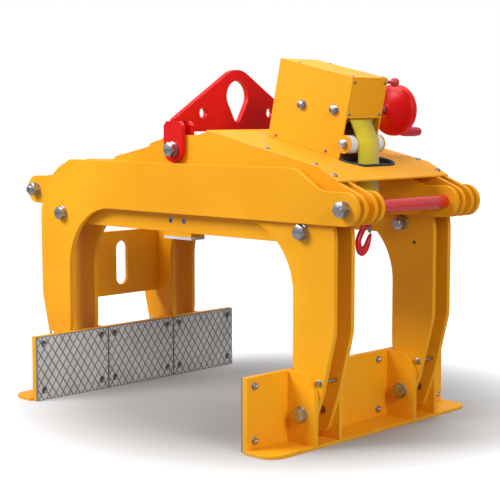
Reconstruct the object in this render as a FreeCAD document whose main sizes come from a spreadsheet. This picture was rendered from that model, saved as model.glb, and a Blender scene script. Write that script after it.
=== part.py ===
# Scissor clamp: two crossed arms on a gable frame, upright rubber jaws, a lifting bracket and a strap winch.
# X runs in the clamping direction, Y along the jaws, Z up. The origin is on the floor, at the bottom centre.
import FreeCAD, Part
import Sketcher
import math
import os

Vector = FreeCAD.Vector
Rotation = FreeCAD.Rotation

doc = FreeCAD.newDocument("scissorClamp")

# Driving lengths in millimetres.
lengths = {
    # layers of plate, counted from the middle of the clamp outwards along Y
    "plateThick": 12,
    "slideGap": 0.5,
    "turnGap": 0.3,
    "strapBay": 22,
    "frameOuterY": 204,
    # pivots of the two arms
    "pivotRun": 162,
    "pivotZ": 541,
    "lobeRadius": 37,
    "pinRadius": 10,
    "pinClearance": 0.05,
    "nutHeight": 16,
    "headHeight": 13,
    "headFlats": 32,
    "washerRadius": 18.5,
    "washerThick": 3,
    "threadEnd": 8,
    "sleeveRadius": 16,
    "spacerRadius": 22,
    # outline of an arm
    "armTopRise": 85,
    "armNeckRun": 67,
    "armNeckRadius": 60,
    "armRampRun": 146,
    "armRampRadius": 30,
    "shoulderRadius": 160,
    "legOuterRun": 125,
    "legBendZ": 262,
    "legBendRadius": 110,
    "legKneeRun": 88,
    "legKneeZ": 115,
    "legKneeRadius": 200,
    "legToeRun": 41,
    "legToeZ": 41,
    "legToeRadius": 18,
    "legTaperZ": 190,
    "legTaperRadius": 150,
    "legClearance": 4,
    "archRadius": 165,
    # bolts and ties in the legs
    "openStopRun": 31,
    "openStopRadius": 20,
    "legTieRun": 83,
    "legTieZ": 150,
    "legTieRadius": 4,
    "legTieFlats": 13,
    "legTieHead": 5.5,
    "slotPlateRun": 59,
    "slotPlateLowZ": 240,
    "slotPlateHighZ": 419,
    "slotWidth": 42,
    "slotLowZ": 267,
    "slotHighZ": 391,
    # gable frame
    "frameLowDrop": 85,
    "frameLowRun": 203,
    "frameRiseRun": 158,
    "frameTopRise": 153,
    "frameTopLeftX": 44,
    "frameTopRightX": 68,
    "leftRoofFootRun": 61,
    "leftRoofHighX": 104,
    "leftRoofHighRise": 123.5,
    "leftStepX": 97,
    "leftStepRise": 132,
    "leftUpperX": 48,
    "leftUpperRise": 145,
    "ridgeX": 104,
    "ridgeRise": 77.5,
    "roofBendRun": 96,
    "roofBendRise": 88.8,
    "flapEndRun": 39,
    "flapDrop": 29.5,
    "coverThick": 4,
    "leftCoverEndX": 235,
    "coverSlotRear": 15,
    "coverSlotFront": 50,
    "coverSlotHalfY": 78,
    "coverScrewY": 190,
    "coverScrewRadius": 7,
    "coverScrewHead": 4,
    "roofScrewHighRun": 168,
    "roofScrewLowRun": 21,
    "flapScrewRun": 36,
    "stepScrewRun": 9,
    "leftScrewRun": 10,
    # stop blocks under the frame
    "stopHalfX": 49,
    "stopFoot": 10,
    "stopTongue": 50,
    "stopRubber": 7,
    "stopBoltX": 24,
    "stopBoltRise": 29,
    "stopBoltRadius": 8,
    # jaws
    "openHalfX": 370,
    "padThick": 6,
    "jawThick": 15,
    "jawTopZ": 170,
    "jawHalfY": 360,
    "padGap": 2,
    "padInset": 1.5,
    "padScrewRadius": 9,
    "padScrewLowZ": 27,
    "padScrewHighZ": 150,
    "padScrewEdge": 23,
    "footThick": 8,
    "footRun": 81,
    "footHalfY": 368,
    "footCornerRadius": 40,
    "ribRun": 82,
    "ribCornerRadius": 57,
    "jawPinRun": 42,
    "jawPinZ": 74,
    # lifting bracket
    "bracketHalfThick": 8,
    "bracketPinRise": 119,
    "strapHalfX": 32,
    "strapTopRise": 68,
    "strapCorner": 10,
    "strapSeatRise": 28,
    "strapGap": 2,
    "bracketLowRise": 42,
    "bracketEndRise": 73,
    "bracketPeakRise": 207.5,
    "bracketPeakRadius": 66,
    "eyeTopRadius": 39,
    "eyeTopRise": 130,
    "eyeLowRadius": 14,
    "eyeLowRise": 78,
    "bracketHoleRadius": 13.5,
    "bracketHoleY": 120,
    "bracketHoleRise": 87.5,
    # winch housing, measured along the roof and square to it from its low rear corner
    "winchRearRun": 70,
    "winchLength": 230,
    "winchHeight": 190,
    "winchHalfY": 64,
    "winchWall": 4,
    "lidThick": 3,
    "flangeStop": 8,
    "frontPanelLow": 96,
    "guideUp": 93,
    "guideRadius": 5,
    "guideCheekLow": 87,
    "guideCheekHigh": 110,
    "guideCheekThick": 3,
    "rollerAhead": 6,
    "rollerUp": 35,
    "lugRadius": 21.5,
    "rollerRadius": 21,
    "rollerBoltRadius": 6,
    "flangeWidth": 20,
    "shaftHeadFlats": 18,
    "shaftHeadHeight": 6.5,
    "shaftWasherRadius": 12.5,
    "shaftWasherThick": 2.5,
    # drum, gears and crank
    "drumUp": 96.2,
    "drumRadius": 22,
    "drumShaftRadius": 10,
    "drumFlangeThick": 4,
    "gearWidth": 12,
    "gearAir": 0.4,
    "crankUp": 105.7,
    "crankRadius": 9,
    "hubRadius": 12,
    "hubStartY": 120,
    "hubEndY": 146,
    "dishStartY": 132,
    "dishCreaseRadius": 43,
    "dishCreaseY": 147,
    "dishWall": 5,
    "rimRadius": 62,
    "rimStartY": 150,
    "rimEndY": 170,
    "gripAt": 55,
    "gripFootThick": 6,
    "gripRadius": 11.5,
    "gripEndY": 233,
    "gripBoltRadius": 5,
    "leverUp": 150,
    "leverThick": 6,
    "leverRadius": 11,
    "leverReachX": 15,
    "leverReachZ": 24,
    "leverBoltRadius": 6,
    "leverBoltFlats": 17,
    "leverBoltHead": 6,
    "knobRadius": 11,
    "knobY": 120,
    "knobStemRadius": 4,
    # strap and hook
    "webHalfY": 37.5,
    "webThick": 3,
    "webGap": 0.4,
    "hookBarDrop": 8,
    "hookBarRadius": 5,
    "hookFrameLowDrop": 33,
    "hookFrameSillDrop": 21,
    "hookFrameSide": 6,
    "hookFrameThick": 10,
    "hookThick": 13,
    "hookShankBackY": -24,
    "hookBackDrop": 53,
    "hookBowlY": -12.5,
    "hookBowlDrop": 87,
    "hookBowlRadius": 30.5,
    "hookTipY": 14.5,
    "hookTipDrop": 67,
    "hookTipInnerY": 8.5,
    "hookInnerY": -8,
    "hookInnerDrop": 82,
    "hookInnerRadius": 16,
    "hookThroatY": -5,
    "hookThroatDrop": 46,
    "hookNeckRadius": 12,
    "hookTipRadius": 2.5,
    "latchPinY": 0.5,
    "latchPinDrop": 46,
    "latchPinRadius": 2.5,
    "latchEarRadius": 5.5,
    "latchEarThick": 3.5,
    "latchRadius": 4,
    "latchTipY": 6.5,
    "latchTipDrop": 62,
    "latchTipRadius": 2.5,
}

# Shares, angles in degrees and counts.
ratios = {
    "gearTeeth": 36,
    "pinionTeeth": 12,
    "gripAngle": 72,
    "hexHalfAngle": 30,
    "drumAlongShare": 0.4022,
    "leverAlongShare": 0.863,
    "gearModuleShare": 0.01804,
    "drumFlangeShare": 0.287,
    "rollShare": 0.25,
    "guideAlongShare": 0.909,
}

sheet = doc.addObject("Spreadsheet::Sheet", "sizes")
for row, (alias, amount) in enumerate(list(lengths.items()) + list(ratios.items()), start=1):
    sheet.set("A%d" % row, alias)
    sheet.set("B%d" % row, str(amount))
    sheet.setAlias("B%d" % row, alias)
doc.recompute()


class Size:
    # A length that knows its formula in the sheet and its present value.
    def __init__(self, formula, value):
        self.formula = formula
        self.value = value

    def __add__(self, other):
        return joined(self, "+", other, self.value + plain(other))

    def __radd__(self, other):
        return joined(other, "+", self, plain(other) + self.value)

    def __sub__(self, other):
        return joined(self, "-", other, self.value - plain(other))

    def __rsub__(self, other):
        return joined(other, "-", self, plain(other) - self.value)

    def __mul__(self, other):
        return joined(self, "*", other, self.value * plain(other))

    def __rmul__(self, other):
        return joined(other, "*", self, plain(other) * self.value)

    def __truediv__(self, other):
        return joined(self, "/", other, self.value / plain(other))

    def __neg__(self):
        return joined(0, "-", self, -self.value)


def plain(amount):
    return amount.value if isinstance(amount, Size) else amount


def written(amount):
    return amount.formula if isinstance(amount, Size) else repr(amount)


def joined(first, sign, second, value):
    return Size("(%s %s %s)" % (written(first), sign, written(second)), value)


def size(alias):
    return Size("sizes." + alias, sheet.get(alias))


def cosine(angle):
    return Size("cos(%s)" % written(angle), math.cos(math.radians(plain(angle))))


def sine(angle):
    return Size("sin(%s)" % written(angle), math.sin(math.radians(plain(angle))))


def slopeAngle(rise, run):
    return Size("(atan(%s / %s) / 1 deg)" % (written(rise), written(run)),
                math.degrees(math.atan(plain(rise) / plain(run))))


def arcsine(rise, reach):
    return Size("(asin(%s / %s) / 1 deg)" % (written(rise), written(reach)),
                math.degrees(math.asin(plain(rise) / plain(reach))))


def squareRoot(amount):
    return Size("sqrt(%s)" % written(amount), math.sqrt(plain(amount)))


def bind(thing, prop, amount):
    if isinstance(amount, Size):
        thing.setExpression(prop, amount.formula)
    else:
        thing.setExpression(prop, repr(amount))


pieces = []


def keep(thing, label):
    thing.Label = label
    pieces.append(thing)
    return thing


# An outline is a list of corners (across, up, rounding) and discs that it wraps round.
def corner(across, up, rounding=0):
    return ("corner", across, up, rounding)


def disc(across, up, radius, side=1):
    return ("disc", across, up, radius, side)


def pinPoint(sketch, item, spot, across, up):
    # fix one point of the sketch at its two distances from the origin
    for kind, amount in (("DistanceX", across), ("DistanceY", up)):
        if plain(amount) == 0 and not isinstance(amount, Size):
            sketch.addConstraint(Sketcher.Constraint("PointOnObject", item, spot, -2 if kind == "DistanceX" else -1))
            continue
        number = sketch.addConstraint(Sketcher.Constraint(kind, -1, 1, item, spot, plain(amount)))
        bind(sketch, "Constraints[%d]" % number, amount)


def fixRadius(sketch, item, radius):
    number = sketch.addConstraint(Sketcher.Constraint("Radius", item, plain(radius)))
    bind(sketch, "Constraints[%d]" % number, radius)


def drawRing(sketch, across, up, radius):
    centre = Vector(plain(across), plain(up), 0)
    item = sketch.addGeometry(Part.Circle(centre, Vector(0, 0, 1), plain(radius)), False)
    pinPoint(sketch, item, 3, across, up)
    fixRadius(sketch, item, radius)


def drawOutline(sketch, elements):
    count = len(elements)
    middles = [Vector(plain(e[1]), plain(e[2]), 0) for e in elements]
    reaches = [e[4] * plain(e[3]) if e[0] == "disc" else 0 for e in elements]
    headings = []
    for i in range(count):
        j = (i + 1) % count
        gap = middles[j] - middles[i]
        headings.append(math.atan2(gap.y, gap.x) + math.asin((reaches[i] - reaches[j]) / gap.Length))
    starts = []
    ends = []
    bends = []
    for i in range(count):
        before = headings[i - 1]
        after = headings[i]
        turn = math.atan2(math.sin(after - before), math.cos(after - before))
        kind = elements[i][0]
        radius = abs(plain(elements[i][3]))
        if kind == "disc":
            sign = 1 if reaches[i] > 0 else -1
            centre = middles[i]
        elif radius > 0:
            sign = 1 if turn > 0 else -1
            back = radius * math.tan(abs(turn) / 2)
            heading = Vector(math.cos(before), math.sin(before), 0)
            left = Vector(-heading.y, heading.x, 0)
            centre = middles[i] - heading * back + left * (sign * radius)
        else:
            starts.append(middles[i])
            ends.append(middles[i])
            bends.append(None)
            continue
        entry = centre + Vector(math.sin(before), -math.cos(before), 0) * (sign * radius)
        leave = centre + Vector(math.sin(after), -math.cos(after), 0) * (sign * radius)
        starts.append(leave)
        ends.append(entry)
        bends.append((centre, radius, sign, entry, leave))
    lines = []
    for i in range(count):
        lines.append(sketch.addGeometry(Part.LineSegment(starts[i], ends[(i + 1) % count]), False))
    for i in range(count):
        kind, across, up, rounding = elements[i][:4]
        arriving = lines[i - 1]
        leaving = lines[i]
        if bends[i] is None:
            sketch.addConstraint(Sketcher.Constraint("Coincident", arriving, 2, leaving, 1))
            pinPoint(sketch, leaving, 1, across, up)
            continue
        centre, radius, sign, entry, leave = bends[i]
        first, last = (entry, leave) if sign > 0 else (leave, entry)
        low = math.atan2(first.y - centre.y, first.x - centre.x)
        high = math.atan2(last.y - centre.y, last.x - centre.x)
        if high <= low:
            high += 2 * math.pi
        arc = sketch.addGeometry(Part.ArcOfCircle(Part.Circle(centre, Vector(0, 0, 1), radius), low, high), False)
        entrySpot = 1 if sign > 0 else 2
        leaveSpot = 3 - entrySpot
        sketch.addConstraint(Sketcher.Constraint("Tangent", arriving, 2, arc, entrySpot))
        sketch.addConstraint(Sketcher.Constraint("Tangent", arc, leaveSpot, leaving, 1))
        fixRadius(sketch, arc, rounding)
        if kind == "disc":
            pinPoint(sketch, arc, 3, across, up)
        else:
            mark = sketch.addGeometry(Part.Point(middles[i]), True)
            pinPoint(sketch, mark, 1, across, up)
            sketch.addConstraint(Sketcher.Constraint("PointOnObject", mark, 1, arriving))
            sketch.addConstraint(Sketcher.Constraint("PointOnObject", mark, 1, leaving))


def newSketch(body, name, plane):
    sketch = body.newObject("Sketcher::SketchObject", name + "Outline")
    support = [item for item in body.Origin.OriginFeatures if item.Role == plane][0]
    sketch.AttachmentSupport = [(support, "")]
    sketch.MapMode = "FlatFace"
    return sketch


def place(thing, x=None, y=None, z=None):
    for axis, amount in (("x", x), ("y", y), ("z", z)):
        if amount is not None:
            bind(thing, "Placement.Base." + axis, amount)


def padded(name, plane, outline, start, depth, rings=(), slots=()):
    # a plate cut to an outline, with round and long holes, that runs along the third axis from start
    body = doc.addObject("PartDesign::Body", name)
    sketch = newSketch(body, name, plane)
    drawOutline(sketch, outline)
    for ring in rings:
        drawRing(sketch, *ring)
    for slot in slots:
        drawOutline(sketch, slot)
    pad = body.newObject("PartDesign::Pad", name + "Pad")
    pad.Profile = sketch
    pad.Reversed = plane == "XZ_Plane"
    bind(pad, "Length", depth)
    sketch.Visibility = False
    axis = {"XZ_Plane": "y", "YZ_Plane": "x", "XY_Plane": "z"}[plane]
    place(body, **{axis: start})
    return body


def turned(name, outline, x, z):
    # a solid of revolution about an axle that runs along Y; the outline is (radius, y)
    body = doc.addObject("PartDesign::Body", name)
    sketch = newSketch(body, name, "XY_Plane")
    drawOutline(sketch, outline)
    spin = body.newObject("PartDesign::Revolution", name + "Turn")
    spin.Profile = sketch
    spin.ReferenceAxis = (sketch, ["V_Axis"])
    place(body, x=x, z=z)
    return body


alongY = Rotation(Vector(1, 0, 0), -90)
alongX = Rotation(Vector(0, 1, 0), 90)


def rod(name, x, y, z, radius, length, turn=alongY):
    bar = doc.addObject("Part::Cylinder", name)
    bar.Placement = FreeCAD.Placement(Vector(0, 0, 0), turn)
    bind(bar, "Radius", radius)
    bind(bar, "Height", length)
    place(bar, x, y, z)
    return bar


def hexagon(name, x, y, z, flats, height, turn=alongY):
    prism = doc.addObject("Part::Prism", name)
    prism.Polygon = 6
    prism.Placement = FreeCAD.Placement(Vector(0, 0, 0), turn)
    bind(prism, "Circumradius", flats / (2 * cosine(size("hexHalfAngle"))))
    bind(prism, "Height", height)
    place(prism, x, y, z)
    return prism


def fused(name, parts):
    union = doc.addObject("Part::MultiFuse", name)
    union.Shapes = parts
    union.Refine = True
    return union


def cutFrom(name, base, tool):
    cut = doc.addObject("Part::Cut", name)
    cut.Base = base
    cut.Tool = tool
    return cut


def group(name, solids):
    bundle = doc.addObject("Part::Compound", name)
    bundle.Links = solids
    return bundle


def ring(name, x, y, z, outer, inner, length):
    # a plain bush along Y
    return cutFrom(name, rod(name + "Outer", x, y, z, outer, length), rod(name + "Bore", x, y, z, inner, length))


def hexBolt(name, x, z, lowY, highY, radius, flats, lowHead, highHead, washer=None):
    # a bolt along Y whose shank fills lowY to highY, with a hexagon at both ends, on washers if it has them
    discs, thick = washer if washer else (radius, 0)
    parts = [
        hexagon(name + "Low", x, lowY - thick - lowHead, z, flats, lowHead),
        rod(name + "Shank", x, lowY, z, radius, highY - lowY),
        hexagon(name + "High", x, highY + thick, z, flats, highHead),
    ]
    if washer:
        parts.append(rod(name + "LowWasher", x, lowY - thick, z, discs, thick))
        parts.append(rod(name + "HighWasher", x, highY, z, discs, thick))
    return fused(name, parts)


def heavyBolt(name, x, z, headY, endY, nut=True):
    # a heavy bolt along Y with its head at headY; the thread stands out beyond the nut at endY
    radius = size("pinRadius")
    flats = size("headFlats")
    head = size("headHeight")
    nutHeight = size("nutHeight")
    discs = size("washerRadius")
    thick = size("washerThick")
    tail = size("threadEnd")
    headLow = plain(headY) < plain(endY)
    parts = []
    if headLow:
        parts.append(hexagon(name + "Head", x, headY - thick - head, z, flats, head))
        parts.append(rod(name + "HeadWasher", x, headY - thick, z, discs, thick))
        parts.append(rod(name + "Shank", x, headY, z, radius, endY - headY))
    else:
        parts.append(hexagon(name + "Head", x, headY + thick, z, flats, head))
        parts.append(rod(name + "HeadWasher", x, headY, z, discs, thick))
        parts.append(rod(name + "Shank", x, endY, z, radius, headY - endY))
    if nut and headLow:
        parts.append(rod(name + "NutWasher", x, endY, z, discs, thick))
        parts.append(hexagon(name + "Nut", x, endY + thick, z, flats, nutHeight))
        parts.append(rod(name + "Tail", x, endY + thick + nutHeight, z, radius, tail))
    elif nut:
        parts.append(rod(name + "NutWasher", x, endY - thick, z, discs, thick))
        parts.append(hexagon(name + "Nut", x, endY - thick - nutHeight, z, flats, nutHeight))
        parts.append(rod(name + "Tail", x, endY - thick - nutHeight - tail, z, radius, tail))
    return fused(name, parts)


# Layers, from the middle outwards.
plate = size("plateThick")
slide = size("slideGap")
air = size("turnGap")
frameOuterOut = size("frameOuterY")
frameOuterIn = frameOuterOut - plate
frameInnerOut = frameOuterIn - size("strapBay")
frameInnerIn = frameInnerOut - plate
rightOuterIn = frameOuterOut + slide
rightOuterOut = rightOuterIn + plate
leftOuterIn = rightOuterOut + slide
leftOuterOut = leftOuterIn + plate
rightInnerOut = frameInnerIn - slide
rightInnerIn = rightInnerOut - plate
leftInnerOut = rightInnerIn - slide
leftInnerIn = leftInnerOut - plate

# Legs and pivots lie out from the back of the jaw plates, roof and beam up from the pivots.
jawBackX = size("openHalfX") + size("padThick") + size("jawThick")
pivotX = jawBackX + size("pivotRun")
pivotZ = size("pivotZ")
lobe = size("lobeRadius")
pin = size("pinRadius")
bore = pin + size("pinClearance")
beamLowZ = pivotZ - lobe
stopX = jawBackX + size("openStopRun")
stopZ = beamLowZ - air - size("openStopRadius")
tieX = jawBackX + size("legTieRun")
tieZ = size("legTieZ")
jawPinX = jawBackX + size("jawPinRun")
jawPinZ = size("jawPinZ")
legInnerX = jawBackX + size("legClearance")


def sidePair(inner, outer):
    # starts of the near and far plate of one layer
    return (("near", -outer), ("far", inner))


def mirrored(elements, side):
    # the outline for the side that the elements are written for, or its mirror image
    if side > 0:
        return elements
    flipped = []
    for element in reversed(elements):
        flipped.append((element[0], -element[1]) + tuple(element[2:]))
    return flipped


def armOutline():
    # arm whose leg is on the +X side and whose pivot is on the -X side, counter-clockwise
    outerX = jawBackX + size("legOuterRun")
    kneeX = jawBackX + size("legKneeRun")
    toeX = jawBackX + size("legToeRun")
    topZ = pivotZ + size("armTopRise")
    return [
        disc(-pivotX, pivotZ, lobe),
        corner(legInnerX, beamLowZ, size("archRadius")),
        corner(legInnerX, size("legTaperZ"), size("legTaperRadius")),
        disc(toeX, size("legToeZ"), size("legToeRadius")),
        corner(kneeX, size("legKneeZ"), size("legKneeRadius")),
        corner(outerX, size("legBendZ"), size("legBendRadius")),
        corner(outerX, topZ, size("shoulderRadius")),
        corner(size("armRampRun") - pivotX, topZ, size("armRampRadius")),
        corner(size("armNeckRun") - pivotX, pivotZ + lobe, size("armNeckRadius")),
    ]


def armPlates(side, name, outerIn, innerIn):
    for layer, inner in (("outer", outerIn), ("inner", innerIn)):
        for where, start in sidePair(inner, inner + plate):
            rings = [
                (-side * pivotX, pivotZ, bore),
                (side * stopX, stopZ, pin),
                (side * tieX, tieZ, size("legTieRadius")),
                (side * jawPinX, jawPinZ, bore),
            ]
            label = "%s_arm_%s_%s_plate" % (name, layer, where)
            keep(padded(label, "XZ_Plane", mirrored(armOutline(), side), start, plate, rings), label)


def armBolts(side, name, outerIn, innerIn):
    solids = []
    tieRadius = size("legTieRadius")
    tieHead = size("legTieHead")
    for where, sign in (("Near", -1), ("Far", 1)):
        low, high = (innerIn, outerIn + plate) if sign > 0 else (-outerIn - plate, -innerIn)
        first, last = (innerIn + plate, outerIn) if sign > 0 else (-outerIn, -innerIn - plate)
        headY, endY = (high, low) if sign > 0 else (low, high)
        bolt = heavyBolt(name + "StopBolt" + where, side * stopX, stopZ, headY, endY)
        roller = rod(name + "StopRoller" + where, side * stopX, first, stopZ, size("openStopRadius"), last - first)
        solids.append(fused(name + "Stop" + where, [bolt, roller]))
        solids.append(hexBolt(name + "TieBolt" + where, side * tieX, tieZ, low, high, tieRadius,
                              size("legTieFlats"), tieHead, tieHead))
    keep(group(name + "ArmBolts", solids), name + "_arm_bolts")


def slotPlate():
    x = jawBackX + size("slotPlateRun")
    half = size("slotWidth") / 2
    low = size("slotPlateLowZ")
    high = size("slotPlateHighZ")
    outline = [
        corner(-leftInnerIn, low),
        corner(leftInnerIn, low),
        corner(leftInnerIn, high),
        corner(-leftInnerIn, high),
    ]
    slot = [disc(0, size("slotLowZ") + half, half), disc(0, size("slotHighZ") - half, half)]
    plateBody = padded("slot_plate", "YZ_Plane", outline, -x - plate, plate, (), [slot])
    keep(plateBody, "slot_plate")


armPlates(-1, "left", leftOuterIn, leftInnerIn)
armPlates(1, "right", rightOuterIn, rightInnerIn)
armBolts(-1, "left", leftOuterIn, leftInnerIn)
armBolts(1, "right", rightOuterIn, rightInnerIn)
slotPlate()


# Gable frame. The roof lines are the tops of the covers, and the plates lie one cover thickness under them.
bendX = pivotX - size("roofBendRun")
bendZ = pivotZ + size("roofBendRise")
ridgeX = size("ridgeX")
ridgeZ = bendZ + size("ridgeRise")
flapX = pivotX - size("flapEndRun")
flapZ = bendZ - size("flapDrop")
roofAngle = slopeAngle(ridgeZ - bendZ, bendX - ridgeX)
roofCos = cosine(roofAngle)
roofSin = sine(roofAngle)
coverDrop = size("coverThick") / roofCos
frameLowZ = pivotZ - size("frameLowDrop")
leftFootX = pivotX - size("leftRoofFootRun")
leftFootZ = pivotZ + lobe + coverDrop
leftHighX = size("leftRoofHighX")
leftHighZ = pivotZ + size("leftRoofHighRise")
leftStepX = size("leftStepX")
leftStepZ = pivotZ + size("leftStepRise")
leftUpperX = size("leftUpperX")
leftUpperZ = pivotZ + size("leftUpperRise")
leftSlope = (leftHighZ - leftFootZ) / (leftFootX - leftHighX)
bracketPinZ = pivotZ + size("bracketPinRise")

# The winch stands on the long roof. Its points run along the roof and square to it from its low rear corner.
winchX = ridgeX + size("winchRearRun")
winchZ = ridgeZ - size("winchRearRun") * (ridgeZ - bendZ) / (bendX - ridgeX)


def onRoof(along, up):
    return (winchX + along * roofCos + up * roofSin, winchZ - along * roofSin + up * roofCos)


winchLength = size("winchLength")
rollerX, rollerZ = onRoof(winchLength + size("rollerAhead"), size("rollerUp"))


def frameOutline():
    riseX = pivotX - size("frameRiseRun")
    lowX = pivotX - size("frameLowRun")
    topZ = pivotZ + size("frameTopRise")
    return [
        disc(-pivotX, pivotZ, lobe),
        corner(-riseX, beamLowZ),
        corner(-lowX, frameLowZ),
        corner(lowX, frameLowZ),
        corner(riseX, beamLowZ),
        disc(pivotX, pivotZ, lobe),
        corner(flapX, flapZ - coverDrop),
        corner(bendX, bendZ - coverDrop),
        corner(ridgeX, ridgeZ - coverDrop),
        corner(size("frameTopRightX"), topZ),
        corner(-size("frameTopLeftX"), topZ),
        corner(-leftUpperX, leftUpperZ - coverDrop),
        corner(-leftStepX, leftStepZ - coverDrop),
        corner(-leftHighX, leftHighZ - coverDrop),
        corner(-leftFootX, leftFootZ - coverDrop),
    ]


def framePlates():
    boltX = size("stopBoltX")
    boltZ = frameLowZ + size("stopBoltRise")
    boltRadius = size("stopBoltRadius")
    for layer, inner in (("outer", frameOuterIn), ("inner", frameInnerIn)):
        for where, start in sidePair(inner, inner + plate):
            rings = [
                (-pivotX, pivotZ, pin),
                (pivotX, pivotZ, pin),
                (0, bracketPinZ, pin),
                (-boltX, boltZ, boltRadius),
                (boltX, boltZ, boltRadius),
            ]
            label = "frame_%s_%s_plate" % (layer, where)
            keep(padded(label, "XZ_Plane", frameOutline(), start, plate, rings), label)


def covers():
    width = 2 * frameOuterOut
    sheetRight = padded("rightCoverSheet", "XZ_Plane", [
        corner(ridgeX, ridgeZ - coverDrop),
        corner(bendX, bendZ - coverDrop),
        corner(flapX, flapZ - coverDrop),
        corner(flapX, flapZ),
        corner(bendX, bendZ),
        corner(ridgeX, ridgeZ),
    ], -frameOuterOut, width)
    half = (size("coverSlotRear") + size("coverSlotFront")) / 2
    reach = size("coverSlotHalfY") - half
    middle = rollerX - size("coverSlotRear") + half
    outline = [disc(middle, -reach, half), disc(middle, reach, half)]
    window = padded("coverWindow", "XY_Plane", outline, flapZ, ridgeZ - flapZ)
    keep(cutFrom("rightCover", sheetRight, window), "right_cover")
    endX = size("leftCoverEndX")
    endZ = leftHighZ - (endX - leftHighX) * leftSlope
    keep(padded("left_cover", "XZ_Plane", [
        corner(-leftUpperX, leftUpperZ),
        corner(-leftStepX, leftStepZ),
        corner(-leftHighX, leftHighZ),
        corner(-endX, endZ),
        corner(-endX, endZ - coverDrop),
        corner(-leftHighX, leftHighZ - coverDrop),
        corner(-leftStepX, leftStepZ - coverDrop),
        corner(-leftUpperX, leftUpperZ - coverDrop),
    ], -frameOuterOut, width), "left_cover")


def coverScrews():
    # round heads along both edges of the covers, each square to its own slope
    roofSlope = (ridgeZ - bendZ) / (bendX - ridgeX)
    flapSlope = (bendZ - flapZ) / (flapX - bendX)
    stepSlope = (leftUpperZ - leftStepZ) / (leftStepX - leftUpperX)
    spots = [
        ("roofHigh", 1, bendX - size("roofScrewHighRun"), bendX, bendZ, roofSlope),
        ("roofLow", 1, bendX - size("roofScrewLowRun"), bendX, bendZ, roofSlope),
        ("flap", 1, bendX + size("flapScrewRun"), bendX, bendZ, flapSlope),
        ("step", -1, leftUpperX + size("stepScrewRun"), leftUpperX, leftUpperZ, stepSlope),
        ("left", -1, size("leftCoverEndX") - size("leftScrewRun"), leftHighX, leftHighZ, leftSlope),
    ]
    heads = []
    for name, side, x, knownX, knownZ, slope in spots:
        z = knownZ - (x - knownX) * slope
        turn = Rotation(Vector(0, side, 0), math.degrees(math.atan(slope.value)))
        for end in (-1, 1):
            heads.append(rod("%sScrew%d" % (name, end), side * x, end * size("coverScrewY"), z,
                             size("coverScrewRadius"), size("coverScrewHead"), turn))
    keep(group("coverScrews", heads), "cover_screws")


def stopBlocks():
    blocks = []
    rubbers = []
    bolts = []
    halfX = size("stopHalfX")
    edge = frameLowZ
    low = edge - size("stopFoot")
    high = edge + size("stopTongue")
    rubberZ = low - size("stopRubber")
    boltX = size("stopBoltX")
    boltZ = edge + size("stopBoltRise")
    boltRadius = size("stopBoltRadius")
    for where, sign in (("Near", -1), ("Far", 1)):
        start = frameInnerIn if sign > 0 else -frameOuterOut
        tongueStart = frameInnerOut if sign > 0 else -frameOuterIn
        width = frameOuterOut - frameInnerIn
        foot = padded("stopFoot" + where, "XZ_Plane", [
            corner(-halfX, low),
            corner(halfX, low),
            corner(halfX, edge),
            corner(-halfX, edge),
        ], start, width)
        holes = [(-boltX, boltZ, boltRadius), (boltX, boltZ, boltRadius)]
        tongue = padded("stopTongue" + where, "XZ_Plane", [
            corner(-halfX, edge),
            corner(halfX, edge),
            corner(halfX, high),
            corner(-halfX, high),
        ], tongueStart, size("strapBay"), holes)
        blocks.append(fused("stopBlock" + where, [foot, tongue]))
        rubbers.append(padded("stopPad" + where, "XZ_Plane", [
            corner(-halfX, rubberZ),
            corner(halfX, rubberZ),
            corner(halfX, low),
            corner(-halfX, low),
        ], start, width))
        for side in (-1, 1):
            name = "stopBolt%s%d" % (where, side)
            bolts.append(rod(name, side * boltX, start, boltZ, boltRadius, width))
    keep(group("stopBlocks", blocks), "stop_blocks")
    keep(group("stopPads", rubbers), "stop_block_rubbers")
    keep(group("stopBolts", bolts), "stop_block_bolts")


def pivotParts():
    bolts = []
    sleeves = []
    spacers = []
    for name, side, outer, inner in (("left", -1, rightOuterOut, rightInnerIn), ("right", 1, leftOuterOut, leftInnerIn)):
        x = side * pivotX
        reach = outer + air
        bolts.append(heavyBolt(name + "PivotBolt", x, pivotZ, reach, -reach))
        half = inner - air
        sleeves.append(ring(name + "Sleeve", x, -half, pivotZ, size("sleeveRadius"), pin, 2 * half))
        bands = [(frameInnerOut, frameOuterIn)]
        if side > 0:
            bands.append((frameOuterOut, leftOuterIn - air))
            bands.append((leftInnerOut + air, frameInnerIn))
        for number, (low, high) in enumerate(bands):
            for where, start in sidePair(low, high):
                spacers.append(ring("%sSpacer%d%s" % (name, number, where), x, start, pivotZ,
                                    size("spacerRadius"), pin, high - low))
    keep(group("pivotBolts", bolts), "pivot_bolts")
    keep(group("pivotSleeves", sleeves), "pivot_sleeves")
    keep(group("pivotSpacers", spacers), "pivot_spacers")


framePlates()
covers()
coverScrews()
stopBlocks()
pivotParts()


# Lifting bracket on two pins at the top of the frame.
strapOuterIn = frameOuterOut + size("strapGap")
strapInnerIn = frameInnerOut + (size("strapBay") - plate) / 2


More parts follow.
